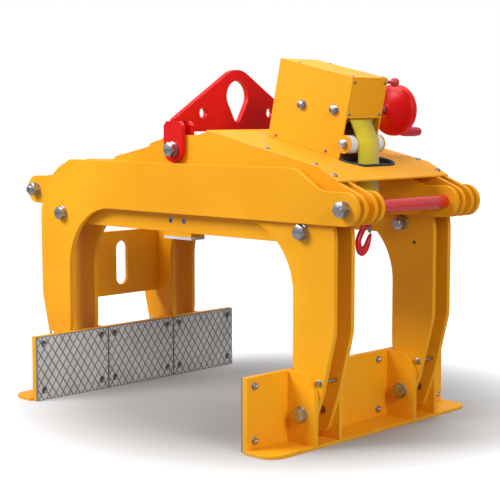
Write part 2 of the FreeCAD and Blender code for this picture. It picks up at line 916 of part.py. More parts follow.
def bracketPlate():
    low = bracketPinZ + size("bracketLowRise")
    seat = bracketPinZ + size("strapSeatRise")
    endZ = bracketPinZ + size("bracketEndRise")
    peakZ = bracketPinZ + size("bracketPeakRise")
    holeY = size("bracketHoleY")
    holeZ = bracketPinZ + size("bracketHoleRise")
    endY = strapOuterIn + plate
    outline = [
        corner(-endY, seat),
        corner(-strapOuterIn, seat),
        corner(-strapOuterIn, low),
        corner(-strapInnerIn - plate, low),
        corner(-strapInnerIn - plate, seat),
        corner(-strapInnerIn, seat),
        corner(-strapInnerIn, low),
        corner(strapInnerIn, low),
        corner(strapInnerIn, seat),
        corner(strapInnerIn + plate, seat),
        corner(strapInnerIn + plate, low),
        corner(strapOuterIn, low),
        corner(strapOuterIn, seat),
        corner(endY, seat),
        corner(endY, endZ),
        corner(0, peakZ, size("bracketPeakRadius")),
        corner(-endY, endZ),
    ]
    eye = [
        disc(0, bracketPinZ + size("eyeLowRise"), size("eyeLowRadius")),
        disc(0, bracketPinZ + size("eyeTopRise"), size("eyeTopRadius")),
    ]
    holes = [(side * holeY, holeZ, size("bracketHoleRadius")) for side in (-1, 1)]
    half = size("bracketHalfThick")
    keep(padded("bracket_plate", "YZ_Plane", outline, -half, 2 * half, holes, [eye]), "bracket_plate")


def bracketStraps():
    solids = []
    half = size("bracketHalfThick")
    wide = size("strapHalfX")
    top = bracketPinZ + size("strapTopRise")
    seat = bracketPinZ + size("strapSeatRise")
    cornerCut = size("strapCorner")
    outline = [
        disc(0, bracketPinZ, wide),
        corner(wide, top - cornerCut),
        corner(wide - cornerCut, top),
        corner(half, top),
        corner(half, seat),
        corner(-half, seat),
        corner(-half, top),
        corner(cornerCut - wide, top),
        corner(-wide, top - cornerCut),
    ]
    holes = [(0, bracketPinZ, bore)]
    for layer, inner in (("Outer", strapOuterIn), ("Inner", strapInnerIn)):
        for where, start in sidePair(inner, inner + plate):
            solids.append(padded("bracketStrap" + layer + where, "XZ_Plane", outline, start, plate, holes))
    keep(group("bracketStraps", solids), "bracket_straps")


def bracketPins():
    solids = []
    for name, sign in (("near", -1), ("far", 1)):
        outer = strapOuterIn + plate + air
        solids.append(heavyBolt(name + "BracketPin", 0, bracketPinZ, sign * outer, sign * frameInnerIn))
    keep(group("bracketPins", solids), "bracket_pins")


bracketPlate()
bracketStraps()
bracketPins()


# Jaws: an upright plate with a foot and four ribs, three rubber pads and two pins that carry the leg.
def jaw(side, name, armOuterOut, armInnerIn):
    face = size("openHalfX")
    padBack = face + size("padThick")
    halfY = size("jawHalfY")
    top = size("jawTopZ")
    lowX = padBack if side > 0 else -jawBackX
    keep(padded(name + "_jaw_plate", "YZ_Plane", [
        corner(-halfY, 0),
        corner(halfY, 0),
        corner(halfY, top),
        corner(-halfY, top),
    ], lowX, size("jawThick")), name + "_jaw_plate")
    footY = size("footHalfY")
    footX = jawBackX + size("footRun")
    footCorner = size("footCornerRadius")
    foot = size("footThick")
    keep(padded(name + "_jaw_foot", "XY_Plane", mirrored([
        corner(jawBackX, -footY),
        corner(footX, -footY, footCorner),
        corner(footX, footY, footCorner),
        corner(jawBackX, footY),
    ], side), 0, foot), name + "_jaw_foot")
    ribs = []
    bolts = []
    ribX = jawBackX + size("ribRun")
    ribOuterIn = armOuterOut + slide
    ribInnerOut = armInnerIn - slide
    ribOutline = mirrored([
        corner(jawBackX, foot),
        corner(ribX, foot),
        corner(ribX, top, size("ribCornerRadius")),
        corner(jawBackX, top),
    ], side)
    holes = [(side * jawPinX, jawPinZ, pin)]
    for inner in (ribOuterIn, ribInnerOut - plate):
        for where, start in sidePair(inner, inner + plate):
            ribs.append(padded("%sRib%d%s" % (name, len(ribs), where), "XZ_Plane", ribOutline, start, plate, holes))
    keep(group(name + "Ribs", ribs), name + "_jaw_ribs")
    for where, sign in (("Near", -1), ("Far", 1)):
        outer = ribOuterIn + plate
        inner = ribInnerOut - plate
        bolts.append(heavyBolt(name + "JawPinOuter" + where, side * jawPinX, jawPinZ, sign * outer,
                               sign * (armOuterOut - plate), False))
        bolts.append(heavyBolt(name + "JawPinInner" + where, side * jawPinX, jawPinZ, sign * inner,
                               sign * (armInnerIn + plate), False))
    keep(group(name + "JawPins", bolts), name + "_jaw_pins")
    pads = []
    screws = []
    third = 2 * halfY / 3
    inset = size("padInset")
    gap = size("padGap") / 2
    edge = size("padScrewEdge")
    screw = size("padScrewRadius")
    padX = face if side > 0 else -padBack
    for number in range(3):
        lowY = number * third - halfY
        highY = lowY + third
        spots = [(y, z) for y in (lowY + edge, highY - edge) for z in (size("padScrewLowZ"), size("padScrewHighZ"))]
        pads.append(padded("%sPad%d" % (name, number), "YZ_Plane", [
            corner(lowY + gap, inset),
            corner(highY - gap, inset),
            corner(highY - gap, top - inset),
            corner(lowY + gap, top - inset),
        ], padX, size("padThick"), [(y, z, screw) for y, z in spots]))
        for y, z in spots:
            screws.append(rod("%sPadScrew%d" % (name, len(screws)), padX, y, z, screw, size("padThick"), alongX))
    keep(group(name + "Pads", pads), name + "_jaw_pads")
    keep(group(name + "PadScrews", screws), name + "_jaw_pad_screws")


jaw(-1, "left", leftOuterOut, leftInnerIn)
jaw(1, "right", rightOuterOut, rightInnerIn)


def roofBlock(along, up, alongEnd, upEnd):
    return [
        corner(*onRoof(along, up)),
        corner(*onRoof(alongEnd, up)),
        corner(*onRoof(alongEnd, upEnd)),
        corner(*onRoof(along, upEnd)),
    ]


winchHeight = size("winchHeight")
winchHalf = size("winchHalfY")
wall = size("winchWall")
lid = size("lidThick")
boxTop = winchHeight - lid
shaftWasher = (size("shaftWasherRadius"), size("shaftWasherThick"))
drumAlong = winchLength * size("drumAlongShare")
drumX, drumZ = onRoof(drumAlong, size("drumUp"))
gearModule = winchLength * size("gearModuleShare")
shaftReach = gearModule * (size("gearTeeth") + size("pinionTeeth")) / 2
rollRadius = winchLength * size("rollShare")
crankRise = size("crankUp") - size("drumUp")
crankRun = squareRoot(shaftReach * shaftReach - crankRise * crankRise)
crankX, crankZ = onRoof(drumAlong + crankRun, size("crankUp"))
leverX, leverZ = onRoof(winchLength * size("leverAlongShare"), size("leverUp"))
guideAlong = winchLength * size("guideAlongShare")
guideX, guideZ = onRoof(guideAlong, size("guideUp"))


def winchHousing():
    crankBore = size("crankRadius") + size("pinClearance")
    bores = [(drumX, drumZ, size("drumShaftRadius")), (crankX, crankZ, crankBore)]
    leverBore = [(leverX, leverZ, size("leverBoltRadius"))]
    for where, start, more in (("near", -winchHalf, []), ("far", winchHalf - wall, leverBore)):
        # a rectangle with a round lug that carries the roller
        name = "winch_%s_side" % where
        panel = padded(name + "Panel", "XZ_Plane", roofBlock(0, 0, winchLength, boxTop), start, wall, bores + more)
        lug = rod(name + "Lug", rollerX, start, rollerZ, size("lugRadius"), wall)
        eye = rod(name + "Eye", rollerX, start, rollerZ, size("rollerBoltRadius"), wall)
        keep(cutFrom(name, fused(name + "Outline", [panel, lug]), eye), name)
    inside = 2 * (winchHalf - wall)
    rear = padded("winchRearPanel", "XZ_Plane", roofBlock(0, 0, wall, boxTop), wall - winchHalf, inside)
    front = padded("winchFrontPanel", "XZ_Plane", roofBlock(winchLength - wall, size("frontPanelLow"), winchLength,
                   boxTop), wall - winchHalf, inside)
    # two cheeks on the front panel carry the bar that the strap runs over
    web = size("webHalfY") + air
    cheek = size("guideCheekThick")
    cheekBlock = roofBlock(guideAlong, size("guideCheekLow"), winchLength - wall, size("guideCheekHigh"))
    parts = [front, rod("guideBar", guideX, -web, guideZ, size("guideRadius"), 2 * web)]
    for where, begin in (("Near", -web - cheek), ("Far", web)):
        parts.append(padded("guideCheek" + where, "XZ_Plane", cheekBlock, begin, cheek))
        parts.append(rod("guideBarEnd" + where, guideX, begin, guideZ, size("guideRadius"), cheek))
    front = fused("winchFront", parts)
    keep(group("winchPanels", [rear, front]), "winch_end_panels")
    keep(padded("winch_lid", "XZ_Plane", roofBlock(0, boxTop, winchLength, winchHeight), -winchHalf,
                2 * winchHalf), "winch_lid")
    flanges = []
    flange = size("flangeWidth")
    for where, start in (("Near", wall - winchHalf), ("Far", winchHalf - wall - flange)):
        flanges.append(padded("winchFlange" + where, "XZ_Plane",
                              roofBlock(wall, 0, winchLength - size("flangeStop"), wall), start, flange))
    keep(group("winchFlanges", flanges), "winch_flanges")


def winchRoller():
    half = winchHalf - wall - air
    keep(ring("strapRoller", rollerX, -half, rollerZ, size("rollerRadius"), size("rollerBoltRadius") +
              size("pinClearance"), 2 * half), "strap_roller")
    head = size("shaftHeadHeight")
    keep(hexBolt("rollerBolt", rollerX, rollerZ, -winchHalf, winchHalf, size("rollerBoltRadius"),
                 size("shaftHeadFlats"), head, head, shaftWasher), "roller_bolt")


def winchDrum():
    shaft = size("drumShaftRadius")
    head = size("shaftHeadHeight")
    keep(hexBolt("drumShaft", drumX, drumZ, -winchHalf, winchHalf, shaft, size("shaftHeadFlats"), head, head,
                 shaftWasher), "drum_shaft")
    web = size("webHalfY") + air
    flange = size("drumFlangeThick")
    hole = shaft + size("pinClearance")
    core = size("drumRadius")
    rim = winchLength * size("drumFlangeShare")
    keep(turned("winch_drum", [
        corner(hole, -web - flange),
        corner(rim, -web - flange),
        corner(rim, -web),
        corner(core, -web),
        corner(core, web),
        corner(rim, web),
        corner(rim, web + flange),
        corner(hole, web + flange),
    ], drumX, drumZ), "winch_drum")
    keep(ring("strapRoll", drumX, -size("webHalfY"), drumZ, rollRadius, core, 2 * size("webHalfY")), "strap_roll")
    gearRadius = gearModule * size("gearTeeth") / 2 - size("gearAir")
    gearY = web + flange
    keep(ring("drumGear", drumX, gearY, drumZ, gearRadius, hole, size("gearWidth")), "drum_gear")


def crank():
    radius = size("crankRadius")
    web = size("webHalfY") + air
    gearY = web + size("drumFlangeThick")
    pinion = gearModule * size("pinionTeeth") / 2
    head = size("shaftHeadHeight")
    discs, thick = shaftWasher
    low = -winchHalf - air
    high = size("hubEndY")
    keep(fused("crankShaft", [
        hexagon("crankHead", crankX, low - thick - head, crankZ, size("shaftHeadFlats"), head),
        rod("crankWasher", crankX, low - thick, crankZ, discs, thick),
        rod("crankRod", crankX, low, crankZ, radius, high - low),
        rod("crankPinion", crankX, gearY, crankZ, pinion, size("gearWidth")),
    ]), "crank_shaft")
    hub = size("hubRadius")
    rim = size("rimRadius")
    skin = size("dishWall")
    start = size("hubStartY")
    dish = size("dishStartY")
    crease = size("dishCreaseRadius")
    creaseY = size("dishCreaseY")
    keep(turned("handwheel", [
        corner(radius, start),
        corner(hub, start),
        corner(hub, dish),
        corner(crease, creaseY),
        corner(rim, size("rimStartY"), skin),
        corner(rim, size("rimEndY")),
        corner(rim - skin, size("rimEndY")),
        corner(rim - skin, size("rimStartY") + skin, skin),
        corner(crease, creaseY + skin),
        corner(hub, dish + skin),
        corner(hub, high),
        corner(radius, high),
    ], crankX, crankZ), "handwheel")
    gripX = crankX + size("gripAt") * cosine(size("gripAngle"))
    gripZ = crankZ - size("gripAt") * sine(size("gripAngle"))
    footTop = size("rimEndY") + size("gripFootThick")
    bolt = size("gripBoltRadius")
    keep(fused("gripBolt", [
        rod("gripBoltFoot", gripX, size("rimEndY"), gripZ, 2 * bolt, size("gripFootThick")),
        rod("gripBoltRod", gripX, footTop, gripZ, bolt, size("gripEndY") - footTop),
        rod("gripBoltHead", gripX, size("gripEndY"), gripZ, 2 * bolt, bolt),
    ]), "crank_grip_bolt")
    keep(ring("crankGrip", gripX, footTop + air, gripZ, size("gripRadius"), bolt + size("pinClearance"),
              size("gripEndY") - footTop - 2 * air), "crank_grip")


def lockLever():
    radius = size("leverRadius")
    thick = size("leverThick")
    boltRadius = size("leverBoltRadius")
    endX = leverX + size("leverReachX")
    endZ = leverZ + size("leverReachZ")
    stem = size("knobStemRadius")
    start = winchHalf + air
    reach = start + thick
    hole = boltRadius + size("pinClearance")
    outline = [disc(leverX, leverZ, radius), disc(endX, endZ, 2 * stem)]
    keep(padded("lock_lever", "XZ_Plane", outline, start, thick, [(leverX, leverZ, hole)]), "lock_lever")
    ball = doc.addObject("Part::Sphere", "knobBall")
    bind(ball, "Radius", size("knobRadius"))
    place(ball, endX, size("knobY"), endZ)
    rodLength = size("knobY") - reach
    keep(fused("lockKnob", [ball, rod("knobStem", endX, reach, endZ, stem, rodLength)]), "lock_knob")
    inside = winchHalf - wall
    keep(fused("leverBolt", [
        rod("leverBoltRod", leverX, inside, leverZ, boltRadius, reach + air - inside),
        hexagon("leverBoltHead", leverX, reach + air, leverZ, size("leverBoltFlats"), size("leverBoltHead")),
    ]), "lever_bolt")


# The strap leaves the roll at its underside, runs over the guide bar and down over the roller.
# Its slope between roll and bar comes from the line that touches both from opposite sides.
webGap = size("webGap")
webThick = size("webThick")
drop = drumZ - guideZ
ahead = guideX - drumX
strapAngle = slopeAngle(drop, ahead) - arcsine(rollRadius + size("guideRadius") + 2 * webGap + webThick,
                                               squareRoot(drop * drop + ahead * ahead))
webMiddleX = rollerX + size("rollerRadius") + webGap + webThick / 2
hookBarZ = pivotZ - size("hookBarDrop")


def winchStrap():
    gap = webGap
    thick = webThick
    half = size("webHalfY")
    roll = rollRadius + gap
    bar = size("guideRadius") + gap
    inner = size("rollerRadius") + gap
    outer = inner + thick
    webX = rollerX + inner
    eye = size("hookBarRadius") + gap
    endZ = hookBarZ + eye + thick / 2
    leanX = sine(strapAngle)
    leanZ = cosine(strapAngle)
    run = padded("webRun", "XZ_Plane", [
        corner(drumX - (roll + thick) * leanX, drumZ - (roll + thick) * leanZ),
        disc(guideX, guideZ, bar, -1),
        disc(rollerX, rollerZ, inner, -1),
        corner(webX, endZ),
        corner(webX + thick, endZ),
        disc(rollerX, rollerZ, outer),
        disc(guideX, guideZ, bar + thick),
        corner(drumX - roll * leanX, drumZ - roll * leanZ),
    ], -half, 2 * half)
    loop = ring("webLoop", webMiddleX, -half, hookBarZ, eye + thick, eye, 2 * half)
    keep(fused("winchStrap", [run, loop]), "winch_strap")


def hookParts():
    thick = size("hookThick")
    frame = size("hookFrameThick")
    barRadius = size("hookBarRadius")
    low = hookBarZ - size("hookFrameLowDrop")
    sill = hookBarZ - size("hookFrameSillDrop")
    innerY = size("webHalfY") + air
    outerY = innerY + size("hookFrameSide")
    top = hookBarZ + barRadius
    yoke = padded("hookYoke", "YZ_Plane", [
        corner(-outerY, low),
        corner(outerY, low),
        corner(outerY, top),
        corner(innerY, top),
        corner(innerY, sill),
        corner(-innerY, sill),
        corner(-innerY, top),
        corner(-outerY, top),
    ], webMiddleX - frame / 2, frame)
    bar = rod("hookBar", webMiddleX, -innerY, hookBarZ, barRadius, 2 * innerY)
    shankTop = (low + sill) / 2
    backY = size("hookShankBackY")
    throatY = size("hookThroatY")
    neck = size("hookNeckRadius")
    tip = size("hookTipRadius")
    tipZ = hookBarZ - size("hookTipDrop")
    bowl = padded("hookBowl", "YZ_Plane", [
        corner(backY, shankTop),
        corner(backY, hookBarZ - size("hookBackDrop"), neck),
        disc(size("hookBowlY"), hookBarZ - size("hookBowlDrop"), size("hookBowlRadius")),
        corner(size("hookTipY"), tipZ, tip),
        corner(size("hookTipInnerY"), tipZ, tip),
        disc(size("hookInnerY"), hookBarZ - size("hookInnerDrop"), size("hookInnerRadius"), -1),
        corner(throatY, hookBarZ - size("hookThroatDrop"), neck),
        corner(throatY, shankTop),
    ], webMiddleX - thick / 2, thick)
    pinY = size("latchPinY")
    pinZ = hookBarZ - size("latchPinDrop")
    pinRadius = size("latchPinRadius")
    ear = size("latchEarRadius")
    earThick = size("latchEarThick")
    earBackY = throatY - ear
    lowX = webMiddleX - thick / 2
    earOutline = [disc(pinY, pinZ, ear), corner(earBackY, pinZ + ear), corner(earBackY, pinZ - ear)]
    holes = [(pinY, pinZ, pinRadius + size("pinClearance"))]
    ears = []
    for number, start in enumerate((lowX, lowX + thick - earThick)):
        ears.append(padded("latchEar%d" % number, "YZ_Plane", earOutline, start, earThick, holes))
    keep(fused("hookForging", [yoke, bar, bowl] + ears), "hook")
    flapThick = thick - 2 * earThick - 2 * air
    flap = padded("latchFlap", "YZ_Plane", [
        disc(pinY, pinZ, size("latchRadius")),
        disc(size("latchTipY"), hookBarZ - size("latchTipDrop"), size("latchTipRadius")),
    ], webMiddleX - flapThick / 2, flapThick)
    axle = rod("latchAxle", lowX, pinY, pinZ, pinRadius, thick, alongX)
    keep(fused("hookLatch", [flap, axle]), "hook_latch")


winchHousing()
winchRoller()
winchDrum()
crank()
lockLever()
winchStrap()
hookParts()

doc.recompute()

for thing in doc.Objects:
    if "Invalid" in thing.State or "Error" in thing.State:
        raise RuntimeError("%s did not build: %s" % (thing.Name, thing.State))
os.makedirs("parts", exist_ok=True)
for thing in pieces:
    if thing.Shape.isNull() or not thing.Shape.isValid():
        raise RuntimeError("%s has no valid shape" % thing.Label)
for thing in pieces:
    thing.Shape.exportStep("parts/%s.step" % thing.Label)
print("%d pieces written" % len(pieces))
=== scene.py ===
# Scissor clamp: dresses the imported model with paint, zinc, rubber and webbing for a studio picture
import math
import bpy
import bmesh
from mathutils import Matrix, Vector


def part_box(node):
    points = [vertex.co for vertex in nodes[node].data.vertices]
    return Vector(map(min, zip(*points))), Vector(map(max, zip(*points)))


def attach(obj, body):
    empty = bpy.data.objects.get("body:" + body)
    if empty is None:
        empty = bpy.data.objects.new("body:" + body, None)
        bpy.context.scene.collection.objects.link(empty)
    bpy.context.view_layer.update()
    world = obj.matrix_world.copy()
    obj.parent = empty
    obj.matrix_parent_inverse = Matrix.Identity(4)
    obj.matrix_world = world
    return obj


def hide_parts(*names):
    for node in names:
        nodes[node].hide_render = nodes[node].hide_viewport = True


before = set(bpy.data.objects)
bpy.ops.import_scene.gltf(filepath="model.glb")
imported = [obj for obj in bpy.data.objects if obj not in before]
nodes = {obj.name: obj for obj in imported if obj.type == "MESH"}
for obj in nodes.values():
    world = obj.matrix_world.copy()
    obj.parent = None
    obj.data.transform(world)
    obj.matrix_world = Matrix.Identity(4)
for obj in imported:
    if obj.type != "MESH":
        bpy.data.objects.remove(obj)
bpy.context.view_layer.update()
scene = bpy.context.scene
print("frame loaded with", len(nodes), "nodes")


# shader groups, shared by the materials
def newGroup(name, inputs, outputs):
    group = bpy.data.node_groups.new(name, "ShaderNodeTree")
    for label, value in inputs.items():
        kind = "NodeSocketColor" if isinstance(value, tuple) and len(value) == 4 else "NodeSocketFloat"
        socket = group.interface.new_socket(name=label, in_out="INPUT", socket_type=kind)
        socket.default_value = value
    for label, kind in outputs.items():
        group.interface.new_socket(name=label, in_out="OUTPUT", socket_type=kind)
    return group, group.nodes.new("NodeGroupInput"), group.nodes.new("NodeGroupOutput")


def addNode(tree, kind, links=None, **settings):
    node = tree.nodes.new("ShaderNode" + kind)
    for name, value in settings.items():
        setattr(node, name, value)
    for socket, value in (links or {}).items():
        if isinstance(value, bpy.types.NodeSocket):
            tree.links.new(value, node.inputs[socket])
        else:
            node.inputs[socket].default_value = value
    return node


def addMath(tree, operation, first, second=0.5, clamp=False):
    return addNode(tree, "Math", {0: first, 1: second}, operation=operation, use_clamp=clamp).outputs[0]


def addMix(tree, factor, first, second):
    return addNode(tree, "Mix", {0: factor, 6: first, 7: second}, data_type="RGBA", blend_type="MIX").outputs[2]


def addSpread(tree, value, low, high, toLow=0.0, toHigh=1.0):
    links = {0: value, 1: low, 2: high, 3: toLow, 4: toHigh}
    return addNode(tree, "MapRange", links, interpolation_type="SMOOTHSTEP").outputs[0]


def addNoise(tree, scale, detail, roughness=0.5):
    # clouds laid in the piece's own coordinates
    coords = addNode(tree, "TexCoord")
    return addNode(tree, "TexNoise", {"Vector": coords.outputs["Object"], "Scale": scale, "Detail": detail,
                                      "Roughness": roughness}).outputs[0]


def makeEdgeGroup():
    # edges where the paint lies thin, with a painted highlight on the rounded edges: lighter where the rounded normal
    # leaves the flat one
    group, given, out = newGroup("edgeWearAndHighlight", {"Width": 0.0015, "Amount": 0.5, "Breakup": 60.0},
                                 {"Mask": "NodeSocketFloat"})
    rounded = addNode(group, "Bevel", {"Radius": given.outputs["Width"]}, samples=6)
    flat = addNode(group, "NewGeometry")
    match = addNode(group, "VectorMath", {0: rounded.outputs[0], 1: flat.outputs["Normal"]}, operation="DOT_PRODUCT")
    bare = addSpread(group, match.outputs["Value"], 0.995, 0.8)
    patchy = addSpread(group, addNoise(group, given.outputs["Breakup"], 5.0, 0.62), 0.42, 0.62)
    mask = addMath(group, "MULTIPLY", bare, patchy)
    group.links.new(addMath(group, "MULTIPLY", mask, given.outputs["Amount"], True), out.inputs["Mask"])
    return group


def makeDustGroup():
    # dust that settles on faces that look up, and splashes near the floor
    group, given, out = newGroup("settledDust", {"Height": 0.12, "Amount": 0.35, "Scale": 14.0},
                                 {"Mask": "NodeSocketFloat"})
    coords = addNode(group, "TexCoord")
    flat = addNode(group, "NewGeometry")
    up = addNode(group, "SeparateXYZ", {0: flat.outputs["Normal"]})
    place = addNode(group, "SeparateXYZ", {0: coords.outputs["Object"]})
    lying = addSpread(group, up.outputs["Z"], 0.35, 1.0, 0.0, 0.6)
    low = addSpread(group, place.outputs["Z"], given.outputs["Height"], 0.0)
    cloud = addSpread(group, addNoise(group, given.outputs["Scale"], 8.0, 0.7), 0.35, 0.75)
    whole = addMath(group, "MAXIMUM", lying, low)
    mask = addMath(group, "MULTIPLY", addMath(group, "MULTIPLY", whole, cloud), given.outputs["Amount"], True)
    group.links.new(mask, out.inputs["Mask"])
    return group


def makeGrainGroup():
    # fine unevenness of a coat or a moulding, with a slow drift over it
    group, given, out = newGroup("fineGrain", {"Fine": 900.0, "Slow": 3.0},
                                 {"Height": "NodeSocketFloat", "Drift": "NodeSocketFloat"})
    group.links.new(addNoise(group, given.outputs["Fine"], 3.0, 0.55), out.inputs["Height"])
    group.links.new(addNoise(group, given.outputs["Slow"], 4.0, 0.5), out.inputs["Drift"])
    return group


edgeGroup = makeEdgeGroup()
dustGroup = makeDustGroup()
grainGroup = makeGrainGroup()


def useGroup(tree, group, **values):
    node = tree.nodes.new("ShaderNodeGroup")
    node.node_tree = group
    for name, value in values.items():
        node.inputs[name].default_value = value
    return node


def newMaterial(name, **sockets):
    material = bpy.data.materials.new(name)
    material.use_nodes = True
    tree = material.node_tree
    shader = tree.nodes["Principled BSDF"]
    for label, value in sockets.items():
        shader.inputs[label.replace("_", " ")].default_value = value
    return material, tree, shader


def dressShader(tree, shader, colour, rough, height, strength, depth):
    # colour, roughness and a fine bump go to the shader's own sockets
    bump = addNode(tree, "Bump", {"Height": height, "Strength": strength, "Distance": depth})
    for socket, value in (("Base Color", colour), ("Roughness", rough), ("Normal", bump.outputs[0])):
        if value:
            tree.links.new(value, shader.inputs[socket])


# the edge colour is lighter: paint worn thin there, and a painted highlight on the rounded edges
paintSettings = {
    "yellow": {"deep": (0.86, 0.362, 0.006, 1), "light": (1.0, 0.462, 0.013, 1), "wornAndLitEdge": (1.0, 0.62, 0.16, 1),
               "rough": 0.42, "coat": 0.0, "shine": 0.22, "dust": 0.06, "wearAndHighlight": 0.4},
    "red": {"deep": (0.66, 0.005, 0.005, 1), "light": (0.8, 0.01, 0.009, 1), "wornAndLitEdge": (0.8, 0.16, 0.15, 1),
            "rough": 0.34, "coat": 0.0, "shine": 0.22, "dust": 0.02, "wearAndHighlight": 0.3},
    "tubeRed": {"deep": (0.62, 0.01, 0.014, 1), "light": (0.74, 0.016, 0.02, 1), "wornAndLitEdge": (0.8, 0.2, 0.2, 1),
                "rough": 0.2, "coat": 0.7, "shine": 0.6, "dust": 0.02, "wearAndHighlight": 0.2},
    "hookRed": {"deep": (0.56, 0.004, 0.012, 1), "light": (0.74, 0.009, 0.02, 1), "wornAndLitEdge": (0.42, 0.2, 0.19, 1),
                "rough": 0.3, "coat": 0.1, "shine": 0.45, "dust": 0.04, "wearAndHighlight": 0.6},
}


def makePaint(name, setting):
    material, tree, shader = newMaterial(name, Coat_Weight=setting["coat"], Coat_Roughness=0.12,
                                         Specular_IOR_Level=setting["shine"])
    grain = useGroup(tree, grainGroup, Fine=1100.0, Slow=2.4)
    edge = useGroup(tree, edgeGroup, Width=0.0016, Amount=setting["wearAndHighlight"], Breakup=90.0)
    dust = useGroup(tree, dustGroup, Height=0.09, Amount=setting["dust"], Scale=16.0)
    drift = addSpread(tree, grain.outputs["Drift"], 0.3, 0.7)
    base = addMix(tree, drift, setting["deep"], setting["light"])
    # edges lightened: worn paint and a painted highlight
    wornAndLitEdge = addMix(tree, edge.outputs["Mask"], base, setting["wornAndLitEdge"])
    dusty = addMix(tree, dust.outputs["Mask"], wornAndLitEdge, (0.52, 0.44, 0.34, 1))
    rough = addMath(tree, "ADD", addMath(tree, "MULTIPLY", grain.outputs["Drift"], 0.1), setting["rough"] - 0.05)
    rougher = addMath(tree, "ADD", rough, addMath(tree, "MULTIPLY", dust.outputs["Mask"], 0.5), True)
    dressShader(tree, shader, dusty, rougher, grain.outputs["Height"], 0.1, 0.0004)
    return material


yellowPaint = makePaint("yellowPaint", paintSettings["yellow"])
redPaint = makePaint("redPaint", paintSettings["red"])
hookPaint = makePaint("hookPaint", paintSettings["hookRed"])
tubePaint = makePaint("tubePaint", paintSettings["tubeRed"])


def makeZinc(name, tint, rough):
    # plated or plain steel: fine crystals and dull clouds
    material, tree, shader = newMaterial(name, Metallic=1.0)
    coords = addNode(tree, "TexCoord")
    grain = useGroup(tree, grainGroup, Fine=1500.0, Slow=26.0)
    spots = addNode(tree, "TexVoronoi", {"Vector": coords.outputs["Object"], "Scale": 420.0})
    cloud = addSpread(tree, grain.outputs["Drift"], 0.3, 0.72)
    dull = tuple(0.72 * part for part in tint[:3]) + (1,)
    crystal = addMath(tree, "MULTIPLY", spots.outputs["Distance"], 0.14)
    dressShader(tree, shader, addMix(tree, cloud, dull, tint), addMath(tree, "ADD", crystal, rough),
                grain.outputs["Height"], 0.12, 0.0003)
    return material


zinc = makeZinc("brightZinc", (0.5, 0.51, 0.56, 1), 0.2)
greySteel = makeZinc("greySteel", (0.36, 0.36, 0.37, 1), 0.36)
cupSteel = makeZinc("cupSteel", (0.22, 0.22, 0.23, 1), 0.42)
darkZinc = makeZinc("darkZinc", (0.3, 0.29, 0.28, 1), 0.34)


def makeRubber(name, dark, light, rough):
    material, tree, shader = newMaterial(name, Specular_IOR_Level=0.35)
    grain = useGroup(tree, grainGroup, Fine=1400.0, Slow=20.0)
    dust = useGroup(tree, dustGroup, Height=0.05, Amount=0.25, Scale=24.0)
    drift = addSpread(tree, grain.outputs["Drift"], 0.32, 0.68)
    dusty = addMix(tree, dust.outputs["Mask"], addMix(tree, drift, dark, light), (0.46, 0.42, 0.37, 1))
    uneven = addMath(tree, "MULTIPLY", grain.outputs["Height"], 0.12)
    dressShader(tree, shader, dusty, addMath(tree, "ADD", uneven, rough), grain.outputs["Height"], 0.35, 0.0004)
    return material


padRubber = makeRubber("padRubber", (0.66, 0.66, 0.66, 1), (0.74, 0.74, 0.74, 1), 0.62)
# the same rubber painted darker for the tread's grooves: painted shade in the grooves
grooveShadeRubber = makeRubber("grooveShadeRubber", (0.2, 0.2, 0.2, 1), (0.26, 0.26, 0.26, 1), 0.72)
stopRubber = makeRubber("stopRubber", (0.55, 0.55, 0.6, 1), (0.66, 0.66, 0.7, 1), 0.6)
trimRubber = makeRubber("trimRubber", (0.01, 0.011, 0.013, 1), (0.022, 0.023, 0.026, 1), 0.45)


def makePlastic(name, dark, light, rough):
    material, tree, shader = newMaterial(name, Coat_Weight=0.15, Coat_Roughness=0.2)
    grain = useGroup(tree, grainGroup, Fine=1700.0, Slow=30.0)
    drift = addSpread(tree, grain.outputs["Drift"], 0.3, 0.7)
    uneven = addMath(tree, "MULTIPLY", grain.outputs["Drift"], 0.12)
    dressShader(tree, shader, addMix(tree, drift, dark, light), addMath(tree, "ADD", uneven, rough),
                grain.outputs["Height"], 0.12, 0.0002)
    return material


rollerPlastic = makePlastic("rollerPlastic", (0.74, 0.75, 0.8, 1), (0.86, 0.86, 0.9, 1), 0.34)
gripPlastic = makePlastic("gripPlastic", (0.42, 0.01, 0.02, 1), (0.55, 0.016, 0.028, 1), 0.32)


weave = {"pick": 0.0032, "end": 0.0024, "middle": 0.0375, "selvage": (0.0335, 0.0345)}


